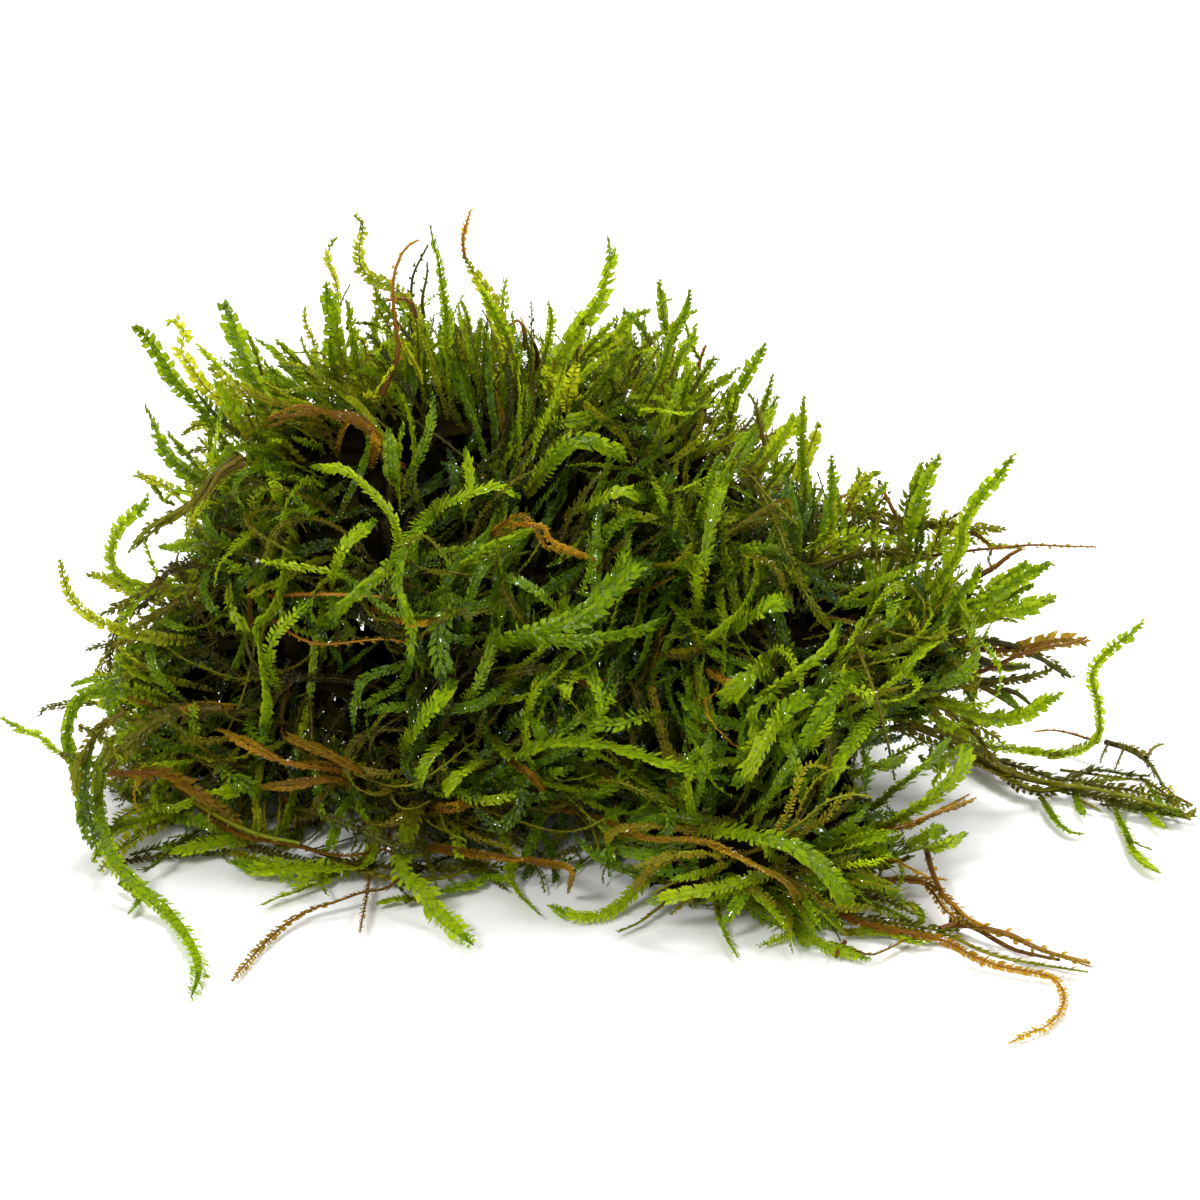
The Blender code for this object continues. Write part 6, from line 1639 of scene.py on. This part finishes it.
# %% One layer
SHORTEST = 4
THIN = {"bare": 0.5, "olive": 0.8, "rust": 0.6, "pale": 0.8, "loose": 0.9, "green": 1.0, "tip": 1.0}
FRONT_LOWER, SURFACE_FROM = 0.8, -1
SLACK_MEAN, SLACK_MOST = 0.9, 4
BACK_SHARE = 0.68
CROWN_THINNER = 0.22
FACING_OUT, FACING_STRAY = 0.8, 0.5
HOLLOW_SHADE, LIT_STRAY = 3, 0.2


def grow_layer(growths, count, seed, depths, heights, lengths, widths, tones):
    """Shoots that start this deep and like this height over the skin. The higher they are, the lighter their
    colour, so the deep ones carry painted shade.
    """
    rng = np.random.default_rng(seed)
    for spot, normal in random_spots(count, rng):
        start = under(spot, normal, rng.uniform(*depths))
        where = place_of(spot, normal)
        height = rng.uniform(*heights) - (FRONT_LOWER if where == "front" else 0)
        length = rng.uniform(*lengths)
        slack = min(SLACK_MOST, rng.exponential(SLACK_MEAN))
        way, odds, lighter = flow_at(spot, rng)
        if height > SURFACE_FROM and in_hollow(spot) or where == "back" and rng.random() > BACK_SHARE:
            continue
        route = tangle_route(spot, normal, start, way, length, height, slack, rng)
        if len(route) < SHORTEST:
            continue
        stands = stands_up(spot, normal)
        look = str(rng.choice(FLOW_KINDS, p=odds))
        if look == "green" and stands > LOWER_STAND:
            look = "tip"
        facing = normal * FACING_OUT + any_way(rng) * FACING_STRAY
        width = rng.uniform(*widths) * THIN[look] * (1 - CROWN_THINNER * stands)
        lit = (height - heights[0]) / (heights[1] - heights[0]) + rng.normal(0, LIT_STRAY)
        # Painted light and shade in the tone: deeper shoots darker, each region lighter or darker by its flow
        # row, and hollows darker still
        tone = between(*tones, min(1, max(0, lit))) + lighter - (HOLLOW_SHADE if in_hollow(spot) else 0)
        add_shoot(growths[where], look, width, route, facing, rng, False, tone)


# %% The near-black films inside: painted shade
INNER_COUNT, INNER_SEED = 1250, 5
INNER_DEPTHS, INNER_LENGTHS, INNER_WIDTHS = (3.5, 8.5), (14, 28), (1.8, 3.2)
INNER_TWIST, INNER_STRAY, INNER_HUG, INNER_RAGGED = (-2, 2), 0.6, 0.15, 0.6


def grow_inside(count, seed):
    """Near-black flat sheets deep in the clump, lying crosswise, as painted shade. No light comes through
    them, and their near-black colour paints the hollows dark.
    """
    growth = Growth()
    rng = np.random.default_rng(seed)
    for spot, normal in random_spots(count, rng):
        depth = rng.uniform(*INNER_DEPTHS)
        start = under(spot, normal, depth)
        way = along_skin(any_way(rng), normal)
        route = wander(start, way, rng.uniform(*INNER_LENGTHS), -depth, INNER_HUG, 0.0, 0, rng)
        if len(route) >= SHORTEST:
            path = smooth_route(route)
            twist = rng.uniform(*INNER_TWIST) * np.linspace(-1, 1, len(path))
            frames = frames_along(path, np.array(normal + any_way(rng) * INNER_STRAY), twist)
            width, tone = rng.uniform(*INNER_WIDTHS), rng.uniform(0, TONES)
            add_band(growth, path, frames, width, INNER_RAGGED, tone, SHADE_FILM, rng)
    return growth


finish_piece(grow_inside(INNER_COUNT, INNER_SEED), "painted_shade_films", "tangled_moss", ["tangled_mat"])
print(made_pieces[-1])

# %% Grow the middle and the outer layer
layers = {name: {place: Growth() for place in PLACES} for name in ("middle", "outer")}
grow_layer(
    layers["middle"], count=860, seed=2, depths=(3, 6.5), heights=(-4.5, -1.2), lengths=(14, 28),
    widths=(0.8, 1.4), tones=(0, 3))
grow_layer(
    layers["outer"], count=1960, seed=3, depths=(1.0, 4.5), heights=(-1.0, 2.0), lengths=(10, 26),
    widths=(0.8, 1.6), tones=(0.5, 7.5))

# %% Dress the short shoots, and hand the layers over
SHORT_SEED, SHORT_WIDTH, SHORT_TONES = 8, 1.6, (2.5, 7.9)
SHORT_KINDS = {"tip": 0.5, "loose": 0.35, "pale": 0.15}
rng = np.random.default_rng(SHORT_SEED)
for route in short_shoots:
    normal = height_over_skin(route[0])[1]
    look = str(rng.choice(list(SHORT_KINDS), p=list(SHORT_KINDS.values())))
    growth = layers["outer"][place_of(route[0], normal)]
    facing, tone = normal + any_way(rng), rng.uniform(*SHORT_TONES)
    add_shoot(growth, look, SHORT_WIDTH, route, facing, rng, False, tone)
for name, growths in layers.items():
    for place, growth in growths.items():
        finish_piece(growth, f"{place}_{name}_tangle", "tangled_moss", ["tangled_mat"])
        print(made_pieces[-1])
print("triangles in all:", sum(count for _, count in made_pieces))
